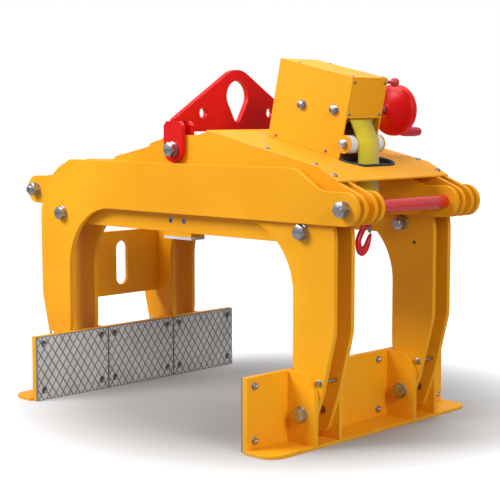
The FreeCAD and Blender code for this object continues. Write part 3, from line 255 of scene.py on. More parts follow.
def makeWebbing():
    # woven strap: threads across and along from the piece's own map, in metres
    material, tree, shader = newMaterial("webbing", Roughness=0.85, Specular_IOR_Level=0.25, Sheen_Weight=0.25,
                                         Sheen_Roughness=0.4)
    uv = addNode(tree, "UVMap", uv_map="strapMap")
    place = addNode(tree, "SeparateXYZ", {0: uv.outputs[0]})
    along = addMath(tree, "MULTIPLY", place.outputs["Y"], 2 * math.pi / weave["pick"])
    across = addMath(tree, "MULTIPLY", place.outputs["X"], 2 * math.pi / weave["end"])
    warp = addMath(tree, "SINE", addMath(tree, "ADD", across, addMath(tree, "MULTIPLY", along, 0.5)))
    threads = addMath(tree, "MULTIPLY", warp, addMath(tree, "SINE", along))
    height = addMath(tree, "ADD", addMath(tree, "MULTIPLY", threads, 0.5), 0.5)
    base = addMix(tree, height, (0.7, 0.52, 0.016, 1), (0.98, 0.8, 0.044, 1))
    stain = addSpread(tree, addNoise(tree, 12.0, 5.0), 0.45, 0.7, 0.0, 0.35)
    faded = addMix(tree, stain, base, (0.92, 0.79, 0.1, 1))
    edge = addMath(tree, "ABSOLUTE", addMath(tree, "SUBTRACT", place.outputs["X"], weave["middle"]))
    selvage = addSpread(tree, edge, *weave["selvage"], 0.0, 0.3)
    fibre = addMath(tree, "MULTIPLY", addNoise(tree, 700.0, 4.0), 0.5)
    dressShader(tree, shader, addMix(tree, selvage, faded, (0.26, 0.22, 0.015, 1)), None,
                addMath(tree, "ADD", height, fibre), 0.5, 0.0005)
    return material


webbing = makeWebbing()
print("materials made")


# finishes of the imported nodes
# the first finish with a word of the node's name is used, and yellow paint where none has
nodeFinish = (
    (tubePaint, ("pivot_sleeves", "handwheel")),
    (redPaint, ("bracket_plate", "bracket_straps")),
    (zinc, ("bolt", "_pins", "screws", "lock_lever", "crank_shaft", "drum_shaft")),
    (greySteel, ("winch_drum", "drum_gear", "hook_latch")),
    (hookPaint, ("hook",)),
    (padRubber, ("_pads",)),
    (stopRubber, ("stop_block_rubbers",)),
    (gripPlastic, ("lock_knob", "crank_grip")),
    (rollerPlastic, ("strap_roller",)),
    (webbing, ("winch_strap", "strap_roll")),
)


def finishFor(name):
    for material, words in nodeFinish:
        if any(word in name for word in words):
            return material
    return yellowPaint


roundedPlates = {"width": 0.0009, "segments": 2, "angle": 35, "merge": 0.00002, "flat": 0.6}


def roundPlateEdges(node):
    # the cut edges of a plate get a small round that catches the light
    setting = roundedPlates
    with bpy.context.temp_override(object=node, active_object=node, selected_objects=[node]):
        bpy.ops.mesh.customdata_custom_splitnormals_clear()
    node.data.shade_smooth()
    weld = node.modifiers.new("joinTriangles", "WELD")
    weld.merge_threshold = setting["merge"]
    flat = node.modifiers.new("joinFlats", "DECIMATE")
    flat.decimate_type = "DISSOLVE"
    flat.angle_limit = math.radians(setting["flat"])
    bevel = node.modifiers.new("roundEdges", "BEVEL")
    bevel.width = setting["width"]
    bevel.segments = setting["segments"]
    bevel.limit_method = "ANGLE"
    bevel.angle_limit = math.radians(setting["angle"])
    bevel.harden_normals = True
    bevel.use_clamp_overlap = True


for name, node in nodes.items():
    node.data.materials.clear()
    material = finishFor(name)
    node.data.materials.append(material)
    if material in (yellowPaint, redPaint):
        roundPlateEdges(node)
print("packed nodes finished")


# pieces
def centreOf(name):
    low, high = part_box(name)
    return (low + high) / 2


def newVerts(made):
    return [item for item in made if isinstance(item, bmesh.types.BMVert)]


def edgesOf(verts):
    return list({edge for vert in verts for edge in vert.link_edges})


def turnFacesOut(bm):
    bmesh.ops.recalc_face_normals(bm, faces=bm.faces[:])


def addObject(name, data):
    holder = bpy.data.objects.new(name, data)
    scene.collection.objects.link(holder)
    return holder


def meshFrom(bm, name):
    mesh = bpy.data.meshes.new(name)
    bm.to_mesh(mesh)
    bm.free()
    return mesh


def addPiece(name, bm, body, material, sharp=32):
    mesh = meshFrom(bm, name)
    for each in material if isinstance(material, tuple) else (material,):
        mesh.materials.append(each)
    mesh.shade_smooth()
    mesh.set_sharp_from_angle(angle=math.radians(sharp))
    piece = bpy.data.objects.new(name, mesh)
    scene.collection.objects.link(piece)
    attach(piece, body)
    return piece


def addSolid(name, bm, body, material, sharp=32, node=None):
    # a closed piece: doubles merged, faces turned outwards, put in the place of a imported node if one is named
    bmesh.ops.remove_doubles(bm, verts=bm.verts[:], dist=0.00001)
    turnFacesOut(bm)
    piece = addPiece(name, bm, body, material, sharp)
    if node:
        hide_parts(node)


def addZinc(name, bm, body, node=None, material=zinc):
    addSolid(name, bm, body, material, node=node)


def addWall(piece, name, thick):
    wall = piece.modifiers.new(name, "SOLIDIFY")
    wall.thickness = thick
    wall.offset = 0


# hardware: shapes turned round an axis, hexagon heads and threads
def facing(spot, towards, turn=0.0):
    # local Z points the given way from the spot
    turned = Vector(towards).to_track_quat("Z", "Y").to_matrix().to_4x4()
    return Matrix.Translation(spot) @ turned @ Matrix.Rotation(math.radians(turn), 4, "Z")


def turnProfile(bm, profile, place, steps=36, closed=False):
    # pairs of reach and radius, spun once round local Z
    axis = place.to_3x3() @ Vector((0, 0, 1))
    verts = [bm.verts.new(place @ Vector((radius, 0, reach))) for reach, radius in profile]
    edges = [bm.edges.new(pair) for pair in zip(verts, verts[1:])]
    if closed:
        edges.append(bm.edges.new((verts[-1], verts[0])))
    bmesh.ops.spin(bm, geom=verts + edges, cent=place.translation, axis=axis, angle=2 * math.pi, steps=steps,
                   use_merge=True, use_duplicate=False)


def hexHead(bm, place, flats, height, chamfer=0.94):
    # a ring laid on the hexagon, drawn up to the turned chamfer and then in to the face
    half = flats / 2
    inner = half * chamfer
    ring = bmesh.ops.create_circle(bm, cap_ends=False, segments=48, radius=1.0)["verts"]
    edges = edgesOf(ring)
    bmesh.ops.contextual_create(bm, geom=edges)
    whole = list(ring)
    for vert in ring:
        around = math.degrees(math.atan2(vert.co.y, vert.co.x))
        vert.co *= half / math.cos(math.radians((around + 30) % 60 - 30))
    for stage in ("chamfer", "face"):
        made = bmesh.ops.extrude_edge_only(bm, edges=edges)["geom"]
        edges = [item for item in made if isinstance(item, bmesh.types.BMEdge)
                 and all(vert not in whole for vert in item.verts)]
        fresh = newVerts(made)
        for vert in fresh:
            reach = vert.co.xy.length
            if stage == "face":
                vert.co = Vector((vert.co.x * inner / reach, vert.co.y * inner / reach, height))
            else:
                vert.co.z = height - (reach - inner) * 0.577
        whole += fresh
    bmesh.ops.contextual_create(bm, geom=edges)
    bmesh.ops.transform(bm, matrix=place, verts=whole)


def washer(bm, place, inner, outer, thick):
    cut = thick * 0.2
    turnProfile(bm, [(0, inner), (0, outer), (thick - cut, outer), (thick, outer - cut), (thick, inner)], place,
                closed=True)


def thread(bm, place, radius, length, pitch):
    profile = [(0, radius)]
    reach = 0.0
    while reach + pitch < length - pitch * 0.5:
        profile += [(reach + pitch * 0.5, radius - pitch * 0.45), (reach + pitch, radius)]
        reach += pitch
    profile += [(length - pitch * 0.4, radius - pitch * 0.1), (length, radius - pitch * 0.6), (length, 0)]
    turnProfile(bm, profile, place)


boltSizes = {
    "heavy": {"radius": 0.01, "flats": 0.032, "head": 0.013, "nut": 0.016, "washer": 0.0185, "thick": 0.003,
              "tail": 0.008, "pitch": 0.0025},
    "shaft": {"radius": 0.006, "flats": 0.018, "head": 0.0065, "washer": 0.0125, "thick": 0.0025},
    "light": {"radius": 0.0032, "flats": 0.013, "head": 0.0045, "nut": 0.006, "washer": 0.0085, "thick": 0.001,
              "tail": 0.0035, "pitch": 0.00125},
}


def addHead(bm, kind, spot, out, turn=0.0, nut=False):
    # a washer on the plate, then the head or the nut with the thread's end; out is the way off the plate
    setting = boltSizes[kind]
    out = Vector(out)
    spot = Vector(spot)
    washer(bm, facing(spot, out), setting["radius"] * 0.98, setting["washer"], setting["thick"])
    seat = spot + out * setting["thick"]
    high = setting["nut"] if nut else setting["head"]
    hexHead(bm, facing(seat, out, turn), setting["flats"], high)
    if nut:
        hexHead(bm, facing(seat + out * 0.0002, -out, turn), setting["flats"], 0.0002)
        thread(bm, facing(seat + out * high, out), setting["radius"], setting["tail"], setting["pitch"])


def addShank(bm, kind, spot, end, radius=None):
    spot, end = Vector(spot), Vector(end)
    radius = radius or boltSizes[kind]["radius"]
    run = end - spot
    turnProfile(bm, [(0, 0), (0, radius), (run.length, radius), (run.length, 0)], facing(spot, run.normalized()), 28)


def boltThrough(bm, kind, x, z, headY, endY, turn=0.0, nut=True):
    out = 1 if headY > endY else -1
    addHead(bm, kind, (x, headY, z), (0, out, 0), turn)
    addShank(bm, kind, (x, headY, z), (x, endY, z))
    if nut:
        addHead(bm, kind, (x, endY, z), (0, -out, 0), turn + 17, nut=True)


strapRun = {"width": 0.075, "thickness": 0.0026, "gap": 0.0004, "rollRadius": 0.0575, "rollerRadius": 0.021,
            "guide": (0.39815, 0, 0.73794), "guideRadius": 0.005, "barRadius": 0.005, "tail": 0.075,
            "loopTop": 0.012, "loopSide": 0.002, "loopTurn": 1.02, "tailGap": 1.04, "wall": 0.9}


def finishWeb(bm, y, width):
    # the side line drawn across to the other edge, with its map in metres; gives the line's length
    bm.verts.ensure_lookup_table()
    lengths = {}
    total = 0.0
    before = bm.verts[0].co
    for vert in bm.verts:
        total += (vert.co - before).length
        before = vert.co.copy()
        lengths[(round(vert.co.x, 6), round(vert.co.z, 6))] = total
    made = bmesh.ops.extrude_edge_only(bm, edges=bm.edges[:])
    bmesh.ops.translate(bm, verts=newVerts(made["geom"]), vec=(0, width, 0))
    strapMap = bm.loops.layers.uv.new("strapMap")
    for face in bm.faces:
        for loop in face.loops:
            spot = loop.vert.co
            loop[strapMap].uv = (spot.y - y, lengths[(round(spot.x, 6), round(spot.z, 6))])
    turnFacesOut(bm)
    return total


def makeStrap():
    # the strap leaves the underside of the wound roll, bends over the guide bar and the roller, and hangs down
    # to a sewn loop on the hook's bar
    setting = strapRun
    half = setting["thickness"] / 2
    drum = centreOf("strap_roll")
    roller = centreOf("strap_roller")
    guide = Vector(setting["guide"])
    hookLow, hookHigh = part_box("hook")
    bar = Vector(((hookLow.x + hookHigh.x) / 2, 0, hookHigh.z - setting["barRadius"]))
    away = setting["gap"] + half
    rollReach = setting["rollRadius"] + away
    guideReach = setting["guideRadius"] + away
    rollerReach = setting["rollerRadius"] + away
    y = -setting["width"] / 2

    def slopeBetween(first, second, reachGap):
        return math.atan2(first.z - second.z, second.x - first.x) - math.asin(reachGap / (second - first).length)

    def spotOn(centre, reach, slope):
        return Vector((centre.x + reach * math.sin(slope), y, centre.z + reach * math.cos(slope)))

    flatRun = slopeBetween(drum, guide, rollReach + guideReach)
    steepRun = slopeBetween(guide, roller, rollerReach - guideReach)
    bm = bmesh.new()

    def drawTo(vert, target, steps):
        step = (target - vert.co) / steps
        for _ in range(steps):
            made = bmesh.ops.extrude_vert_indiv(bm, verts=[vert])
            vert = made["verts"][0]
            bmesh.ops.translate(bm, verts=[vert], vec=step)
        return vert

    def turnRound(vert, centre, angle, steps):
        bmesh.ops.spin(bm, geom=[vert], cent=(centre.x, y, centre.z), axis=(0, 1, 0), angle=angle, steps=steps,
                       use_merge=False, use_duplicate=False)
        bm.verts.ensure_lookup_table()
        return bm.verts[-1]

    last = bm.verts.new(spotOn(drum, -rollReach, flatRun))
    last = drawTo(last, spotOn(guide, guideReach, flatRun), 6)
    last = turnRound(last, guide, steepRun - flatRun, 8)
    last = drawTo(last, spotOn(roller, rollerReach, steepRun), 4)
    last = turnRound(last, roller, math.pi / 2 - steepRun, 8)
    barReach = setting["barRadius"] + away
    top = Vector((last.co.x, y, bar.z + barReach + setting["loopTop"]))
    last = drawTo(last, top, 10)
    last = drawTo(last, Vector((bar.x + barReach, y, bar.z + setting["loopSide"])), 3)
    last = turnRound(last, bar, math.pi * setting["loopTurn"], 14)
    inner = top - Vector((setting["thickness"] * setting["tailGap"], 0, 0))
    last = drawTo(last, inner, 3)
    drawTo(last, inner + Vector((0, 0, setting["tail"])), 5)
    total = finishWeb(bm, y, setting["width"])
    strap = addPiece("webbingStrap", bm, "root", webbing, 80)
    addWall(strap, "webThickness", setting["thickness"] * setting["wall"])
    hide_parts("winch_strap")
    return total


frameBolts = {"pivotX": 0.553, "pivotZ": 0.541, "leftY": 0.2168, "rightY": 0.2293, "leftTurn": 8, "rightTurn": 21,
              "bracketZ": 0.66, "bracketOuterY": 0.2183, "bracketInnerY": 0.158, "bracketTurn": 12}


def makeFrameBolts():
    setting = frameBolts
    bm = bmesh.new()
    for side, name in ((-1, "left"), (1, "right")):
        reach = setting[name + "Y"]
        boltThrough(bm, "heavy", side * setting["pivotX"], setting["pivotZ"], reach, -reach, setting[name + "Turn"])
    addZinc("pivotBoltsAndNuts", bm, "root", "pivot_bolts")
    bm = bmesh.new()
    for side in (-1, 1):
        boltThrough(bm, "heavy", 0, setting["bracketZ"], setting["bracketOuterY"] * side,
                    setting["bracketInnerY"] * side, setting["bracketTurn"])
    addZinc("bracketPinBolts", bm, "root", "bracket_pins")


legBolts = {
    "left": {"x": -0.422, "tieX": -0.474, "outer": 0.229, "inner": 0.133},
    "right": {"x": 0.422, "tieX": 0.474, "outer": 0.2165, "inner": 0.1455},
}
legParts = {"stopZ": 0.4837, "tieZ": 0.15, "plate": 0.012, "rollerRadius": 0.0198, "rollerBore": 0.0101,
            "round": 0.0008, "play": 0.0002, "flank": 0.001, "tieRadius": 0.004}


def makeLegBolts():
    # in each leg a bolt with a roller between its plates, and a thin tie bolt lower down
    part = legParts
    radius, bore, play, flank = part["rollerRadius"], part["rollerBore"], part["play"], part["flank"]
    shoulder = radius - part["round"]
    for name, setting in legBolts.items():
        outer, inner = setting["outer"], setting["inner"]
        width = outer - inner - 2 * part["plate"]
        bm = bmesh.new()
        for side in (-1, 1):
            boltThrough(bm, "heavy", setting["x"], part["stopZ"], side * outer, side * inner, 10)
            turnProfile(bm, [(play, bore), (play, shoulder), (flank, radius), (width - flank, radius),
                             (width - play, shoulder), (width - play, bore)],
                        facing((setting["x"], side * (inner + part["plate"]), part["stopZ"]), (0, side, 0)),
                        closed=True)
            outSpot, inSpot = [(setting["tieX"], side * y, part["tieZ"]) for y in (outer, inner)]
            addHead(bm, "light", outSpot, (0, side, 0), 5)
            addHead(bm, "light", inSpot, (0, -side, 0), 22)
            addShank(bm, "light", outSpot, inSpot, part["tieRadius"])
        addZinc(name + "LegBolts", bm, name + "_arm", name + "_arm_bolts")


jawHardware = {
    "left": {"side": -1, "outerHead": 0.2415, "outerEnd": 0.217, "innerHead": 0.1205, "innerEnd": 0.145},
    "right": {"side": 1, "outerHead": 0.229, "outerEnd": 0.2045, "innerHead": 0.133, "innerEnd": 0.1575},
}
jawPlaces = {"pinX": 0.433, "pinZ": 0.074, "back": 0.391, "padBack": 0.376, "screwHeights": (0.027, 0.15),
             "nutRuns": (-0.338, -0.097, 0.097, 0.338), "screwRuns": (-0.337, -0.143, -0.097, 0.097, 0.143, 0.337)}
cupScrew = [(0, 0), (0, 0.0088), (0.005, 0.0088), (0.0055, 0.0083), (0.0032, 0.0048), (0.0029, 0.004),
            (0.0012, 0.0038), (0.0012, 0)]


def makeJawHardware():
    place = jawPlaces
    for name, setting in jawHardware.items():
        side = setting["side"]
        body = name + "_jaw"
        bm = bmesh.new()
        for end in (-1, 1):
            for part in ("outer", "inner"):
                head, tail = end * setting[part + "Head"], end * setting[part + "End"]
                boltThrough(bm, "heavy", side * place["pinX"], place["pinZ"], head, tail, 14, nut=False)
        addZinc(name + "JawPins", bm, body, body + "_pins")
        bm = bmesh.new()
        for run in place["nutRuns"]:
            for height in place["screwHeights"]:
                addHead(bm, "light", (side * place["back"], run, height), (side, 0, 0), 30 * run * 100, nut=True)
        addZinc(name + "PadNuts", bm, body)
        bm = bmesh.new()
        for run in place["screwRuns"]:
            for height in place["screwHeights"]:
                turnProfile(bm, cupScrew, facing((side * place["padBack"], run, height), (-side, 0, 0)), 28)
        addZinc(name + "PadCupScrews", bm, body, body + "_pad_screws", cupSteel)


padTread = {"length": 0.238, "height": 0.167, "wide": 0.024, "tall": 0.035, "groove": 0.001, "slope": 0.0006,
            "rise": 0.0014, "thick": 0.006, "smallest": 0.00005, "hole": 0.0092, "holeRuns": 0.097,
            "holeHeights": (-0.058, 0.065), "holeSides": 28, "holeDepth": 0.02, "pitch": 0.24, "middleZ": 0.085}


def padPattern():
    # a sheet of leaning squares cut to the pad, each drawn up as a tread block; local Z points off the jaw
    setting = padTread
    wide, tall = setting["wide"], setting["tall"]
    bm = bmesh.new()
    columns = math.ceil(setting["length"] / wide) + 1
    rows = math.ceil(setting["height"] / tall) + 1
    for column in range(-columns, columns + 1):
        for row in range(-rows, rows + 1):
            if (column + row) % 2:
                continue
            made = bmesh.ops.create_circle(bm, cap_ends=True, segments=4, radius=0.5)["verts"]
            bmesh.ops.scale(bm, verts=made, vec=(wide, tall, 1))
            bmesh.ops.translate(bm, verts=made, vec=(column * wide / 2, row * tall / 2, 0))
    bmesh.ops.remove_doubles(bm, verts=bm.verts[:], dist=0.0002)
    for axis, half in ((0, setting["length"] / 2), (1, setting["height"] / 2)):
        for end in (-1, 1):
            plane = Vector((0, 0, 0))
            plane[axis] = end
            bmesh.ops.bisect_plane(bm, geom=bm.verts[:] + bm.edges[:] + bm.faces[:], plane_co=plane * half,
                                   plane_no=plane, clear_outer=True, dist=0.00001)
    bmesh.ops.reverse_faces(bm, faces=[face for face in bm.faces if face.normal.z < 0])
    blocks = [face for face in bm.faces if face.calc_area() > setting["smallest"]]
    # the groove floors and the blocks' sloped sides take the darker rubber, painted shade in the grooves
    for thickness, rise in ((setting["groove"], 0.0), (setting["slope"], setting["rise"])):
        rims = bmesh.ops.inset_individual(bm, faces=blocks, thickness=thickness, depth=rise,
                                          use_even_offset=True)["faces"]
        for face in rims:
            face.material_index = 1
    border = [edge for edge in bm.edges if edge.is_boundary]
    made = bmesh.ops.extrude_edge_only(bm, edges=border)["geom"]
    fresh = newVerts(made)
    bmesh.ops.translate(bm, verts=fresh, vec=(0, 0, setting["rise"] - setting["thick"]))
    bmesh.ops.contextual_create(bm, geom=[edge for edge in bm.edges if edge.is_boundary])
    bmesh.ops.translate(bm, verts=bm.verts[:], vec=(0, 0, setting["thick"] - setting["rise"]))
    turnFacesOut(bm)
    return bm


def cutHoles(bm):
    # four round holes for the cup screws
    mesh = meshFrom(bm, "padUncut")
    cutter = bmesh.new()
    for run in (-padTread["holeRuns"], padTread["holeRuns"]):
        for height in padTread["holeHeights"]:
            bmesh.ops.create_cone(cutter, cap_ends=True, segments=padTread["holeSides"], radius1=padTread["hole"],
                                  radius2=padTread["hole"], depth=padTread["holeDepth"],
                                  matrix=Matrix.Translation((run, height, padTread["thick"] / 2)))
    pad = addObject("padUncut", mesh)
    knife = addObject("padCutter", meshFrom(cutter, "padCutter"))
    cut = pad.modifiers.new("screwHoles", "BOOLEAN")
    cut.object = knife
    cut.solver = "EXACT"
    bpy.context.view_layer.update()
    whole = bpy.data.meshes.new_from_object(pad.evaluated_get(bpy.context.evaluated_depsgraph_get()))
    for item in (pad, knife):
        bpy.data.objects.remove(item)
    return whole


def makePads():
    one = cutHoles(padPattern())
    for name, side in (("left", -1), ("right", 1)):
        bm = bmesh.new()
        for run in (-padTread["pitch"], 0, padTread["pitch"]):
            before = len(bm.verts)
            bm.from_mesh(one)
            bm.verts.ensure_lookup_table()
            turned = Matrix(((0, 0, -side, side * jawPlaces["padBack"]), (-side, 0, 0, run),
                             (0, 1, 0, padTread["middleZ"]), (0, 0, 0, 1)))
            bmesh.ops.transform(bm, matrix=turned, verts=bm.verts[before:])
        piece = addPiece(name + "TreadPads", bm, name + "_jaw", (padRubber, grooveShadeRubber), 20)
        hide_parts(name + "_jaw_pads")


# place along and up, and the roof's lean there in degrees
coverScrewSpots = {"roofHigh": (0.28945, 0.66865, 12.38), "roofLow": (0.43645, 0.63635, 12.38),
                   "flap": (0.49395, 0.61295, 27.57), "step": (-0.0575, 0.68555, -14.86),
                   "left": (-0.22545, 0.64075, -12.38)}
coverScrewFit = {"y": 0.19, "sunk": 0.002}
buttonHead = [(0, 0), (0, 0.007), (0.0012, 0.0069), (0.0026, 0.0059), (0.0036, 0.0042), (0.0038, 0.0031),
              (0.0018, 0.0029), (0.0018, 0)]
smallHead = [(0, 0), (0, 0.0042), (0.0009, 0.0041), (0.0018, 0.0033), (0.0022, 0.0021), (0.0022, 0.0016),
             (0.0012, 0.0014), (0.0012, 0)]


def makeCoverScrews():
    bm = bmesh.new()
    for x, z, lean in coverScrewSpots.values():
        out = Vector((math.sin(math.radians(lean)), 0, math.cos(math.radians(lean))))
        for y in (-coverScrewFit["y"], coverScrewFit["y"]):
            turnProfile(bm, buttonHead, facing(Vector((x, y, z)) - out * coverScrewFit["sunk"], out), 24)
    addZinc("coverButtonScrews", bm, "root", "cover_screws", darkZinc)


stopScrews = {"x": 0.024, "y": 0.158, "z": 0.485,
              "profile": [(0, 0), (0, 0.0079), (0.0455, 0.0079), (0.046, 0.0074), (0.046, 0.0045),
                          (0.04, 0.0043), (0.04, 0)]}


def makeStopScrews():
    # flush screws with a deep socket
    setting = stopScrews
    bm = bmesh.new()
    for x in (-setting["x"], setting["x"]):
        for side in (-1, 1):
            turnProfile(bm, setting["profile"], facing((x, setting["y"] * side, setting["z"]), (0, side, 0)), 28)
    addZinc("stopSocketScrews", bm, "root", "stop_block_bolts")


# the long roof slope: where it starts, and the ways along it and off it
roofStart = Vector((0.174, 0, 0.69193))
roofAlong = Vector((0.97674, 0, -0.21444))
roofUp = Vector((0.21444, 0, 0.97674))


def onRoof(along, y, up):
    return roofStart + roofAlong * along + roofUp * up + Vector((0, y, 0))


winchScrews = {"front": [(0.23, y, up) for y in (-0.0545, 0.0545) for up in (0.1775, 0.1035)],
               "near": [(along, -0.064, 0.008) for along in (0.024, 0.186)],
               "far": [(along, 0.064, 0.008) for along in (0.024, 0.186)],
               "lid": [(along, y, 0.19) for along in (0.055, 0.221) for y in (-0.056, 0.056)]}


def makeWinchScrews():
    bm = bmesh.new()
    ways = {"front": roofAlong, "near": Vector((0, -1, 0)), "far": Vector((0, 1, 0)), "lid": roofUp}
    for where, spots in winchScrews.items():
        for spot in spots:
            turnProfile(bm, smallHead, facing(onRoof(*spot), ways[where]), 20)
    addZinc("housingScrews", bm, "root", None, darkZinc)


winchBolts = {"sideY": 0.064, "rollerX": 0.412, "rollerZ": 0.6755, "rollerRadius": 0.006, "drumRadius": 0.01,
              "leverInY": 0.06, "leverOutY": 0.0706, "leverRadius": 0.006, "leverFlats": 0.017, "leverHead": 0.006}


def addCrossBolt(name, x, z, turn, radius, node):
    # a bolt right across the housing, with a head on both sides
    reach = winchBolts["sideY"]
    bm = bmesh.new()
    for side in (-1, 1):
        addHead(bm, "shaft", (x, side * reach, z), (0, side, 0), turn)
    addShank(bm, "shaft", (x, -reach, z), (x, reach, z), radius)
    addZinc(name, bm, "root", node)


def makeWinchBolts():
    setting = winchBolts
    addCrossBolt("rollerBoltAndHeads", setting["rollerX"], setting["rollerZ"], 11, setting["rollerRadius"],
                 "roller_bolt")
    drum = centreOf("drum_shaft")
    addCrossBolt("drumShaftAndHeads", drum.x, drum.z, 25, setting["drumRadius"], "drum_shaft")
    lever = centreOf("lever_bolt")
    seat = (lever.x, setting["leverOutY"], lever.z)
    bm = bmesh.new()
    hexHead(bm, facing(seat, (0, 1, 0), 9), setting["leverFlats"], setting["leverHead"])
    addShank(bm, "shaft", (lever.x, setting["leverInY"], lever.z), seat, setting["leverRadius"])
    addZinc("leverPivotBolt", bm, "root", "lever_bolt")


def toothedWheel(bm, place, radius, teeth, depth, width):
    # six points a tooth: two at the root, the flanks, two at the tip
    pattern = (1.0, 1.0, 0.5, 0.0, 0.0, 0.5)
    ring = bmesh.ops.create_circle(bm, cap_ends=False, segments=6 * teeth, radius=1.0)["verts"]
    whole = list(ring)
    for number, vert in enumerate(ring):
        vert.co *= radius - depth * pattern[number % 6]
    edges = edgesOf(ring)
    bmesh.ops.contextual_create(bm, geom=edges)
    made = bmesh.ops.extrude_edge_only(bm, edges=edges)["geom"]
    fresh = newVerts(made)
    bmesh.ops.translate(bm, verts=fresh, vec=(0, 0, width))
    whole += fresh
    bmesh.ops.contextual_create(bm, geom=[item for item in made if isinstance(item, bmesh.types.BMEdge)
                                          and all(vert in fresh for vert in item.verts)])
    bmesh.ops.transform(bm, matrix=place, verts=whole)


gearShape = {"y": 0.0418, "width": 0.012, "drumRadius": 0.0743, "drumTeeth": 36, "drumDepth": 0.008,
             "pinionRadius": 0.0249, "pinionTeeth": 12, "pinionDepth": 0.007}
spindle = {"nearY": -0.0643, "farY": 0.146, "radius": 0.009, "bore": 0.0088, "turn": 4}


def makeGears():
    setting = gearShape
    drum = centreOf("drum_gear")
    bm = bmesh.new()
    toothedWheel(bm, facing((drum.x, setting["y"], drum.z), (0, 1, 0)), setting["drumRadius"], setting["drumTeeth"],
                 setting["drumDepth"], setting["width"])
    addZinc("drumSpurGear", bm, "drum", "drum_gear", greySteel)
    crank = centreOf("handwheel")
    end = Vector((crank.x, spindle["nearY"], crank.z))
    size = boltSizes["shaft"]
    bm = bmesh.new()
    toothedWheel(bm, facing((crank.x, setting["y"], crank.z), (0, 1, 0)), setting["pinionRadius"],
                 setting["pinionTeeth"], setting["pinionDepth"], setting["width"])
    addShank(bm, "shaft", end, (crank.x, spindle["farY"], crank.z), spindle["radius"])
    washer(bm, facing(end, (0, -1, 0)), spindle["bore"], size["washer"], size["thick"])
    hexHead(bm, facing(end - Vector((0, size["thick"], 0)), (0, -1, 0), spindle["turn"]), size["flats"], size["head"])
    addZinc("crankSpindle", bm, "crank", "crank_shaft")


def bothWays(half):
    return [(-reach, radius) for reach, radius in reversed(half)] + half


# pieces turned on a lathe round their own axle: pairs of y and radius
wheelProfile = [(0.12, 0.0092), (0.12, 0.0112), (0.1208, 0.012), (0.1312, 0.012), (0.1326, 0.0132),
                (0.1466, 0.0424), (0.1474, 0.0445), (0.1496, 0.0575), (0.1506, 0.06), (0.1526, 0.0616),
                (0.155, 0.062), (0.1676, 0.062), (0.1694, 0.0612), (0.17, 0.0595), (0.1694, 0.0578),
                (0.1678, 0.057), (0.1575, 0.057), (0.1556, 0.0562), (0.1546, 0.0545), (0.1524, 0.0445),
                (0.1514, 0.0426), (0.1374, 0.0134), (0.1374, 0.012), (0.1452, 0.012), (0.146, 0.0112),
                (0.146, 0.0092)]
gripProfile = [(0.1763, 0.0052), (0.1763, 0.0095), (0.1773, 0.0105), (0.18, 0.0109), (0.2, 0.0115),
               (0.22, 0.0115), (0.227, 0.011), (0.2308, 0.0096), (0.2325, 0.0076), (0.2327, 0.0052)]
gripBoltProfile = [(0.17, 0), (0.17, 0.01), (0.1754, 0.01), (0.176, 0.0094), (0.176, 0.005),
                   (0.233, 0.005), (0.233, 0.0094), (0.2338, 0.0099), (0.2352, 0.0096), (0.2368, 0.0078),
                   (0.2378, 0.0045), (0.238, 0)]
rollerProfile = bothWays([(0.0576, 0.021), (0.0586, 0.0206), (0.0592, 0.0195), (0.0587, 0.0185), (0.0587, 0.012),
                          (0.0597, 0.011), (0.0597, 0.0064)])


def addTurned(name, profile, centre, body, material, node, steps=40, sharp=40, closed=True):
    middle = centreOf(centre)
    bm = bmesh.new()
    turnProfile(bm, profile, facing((middle.x, 0, middle.z), (0, 1, 0)), steps, closed=closed)
    addSolid(name, bm, body, material, sharp, node)


def makeCrankPieces():
    addTurned("dishedHandwheel", wheelProfile, "handwheel", "crank", redPaint, "handwheel", 80)
    addTurned("turningGrip", gripProfile, "crank_grip", "grip", gripPlastic, "crank_grip")
    addTurned("gripSpindle", gripBoltProfile, "crank_grip", "crank", gripPlastic, "crank_grip_bolt",
              closed=False)
    addTurned("nylonRoller", rollerProfile, "strap_roller", "roller", rollerPlastic, "strap_roller",
              56, 30)


knobShape = {"radius": 0.011, "stem": 0.004, "stemStart": 0.0703, "neck": 0.006, "gap": 0.0015, "points": 14}


def makeKnob():
    setting = knobShape
    low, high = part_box("lock_knob")
    centreY = high.y - setting["radius"]
    profile = [(setting["stemStart"], 0), (setting["stemStart"], setting["stem"]),
               (centreY - setting["radius"] - setting["gap"], setting["stem"])]
    start = math.asin(setting["neck"] / setting["radius"])
    for number in range(setting["points"] + 1):
        turn = start + (math.pi - start) * number / setting["points"]
        profile.append((centreY - setting["radius"] * math.cos(turn), setting["radius"] * math.sin(turn)))
    profile[-1] = (high.y, 0)
    bm = bmesh.new()
    turnProfile(bm, profile, facing(((low.x + high.x) / 2, 0, (low.z + high.z) / 2), (0, 1, 0)), 40)
    addSolid("ballKnob", bm, "lever", gripPlastic, 40, "lock_knob")


slotTrim = {"middleX": 0.4295, "reach": 0.0455, "half": 0.0325, "bead": 0.005, "bendX": 0.457, "bendZ": 0.6298,
            "roof": 0.21955, "flap": 0.522, "drop": 0.0012, "sleeve": 0.024, "wall": 0.0024, "points": 72}


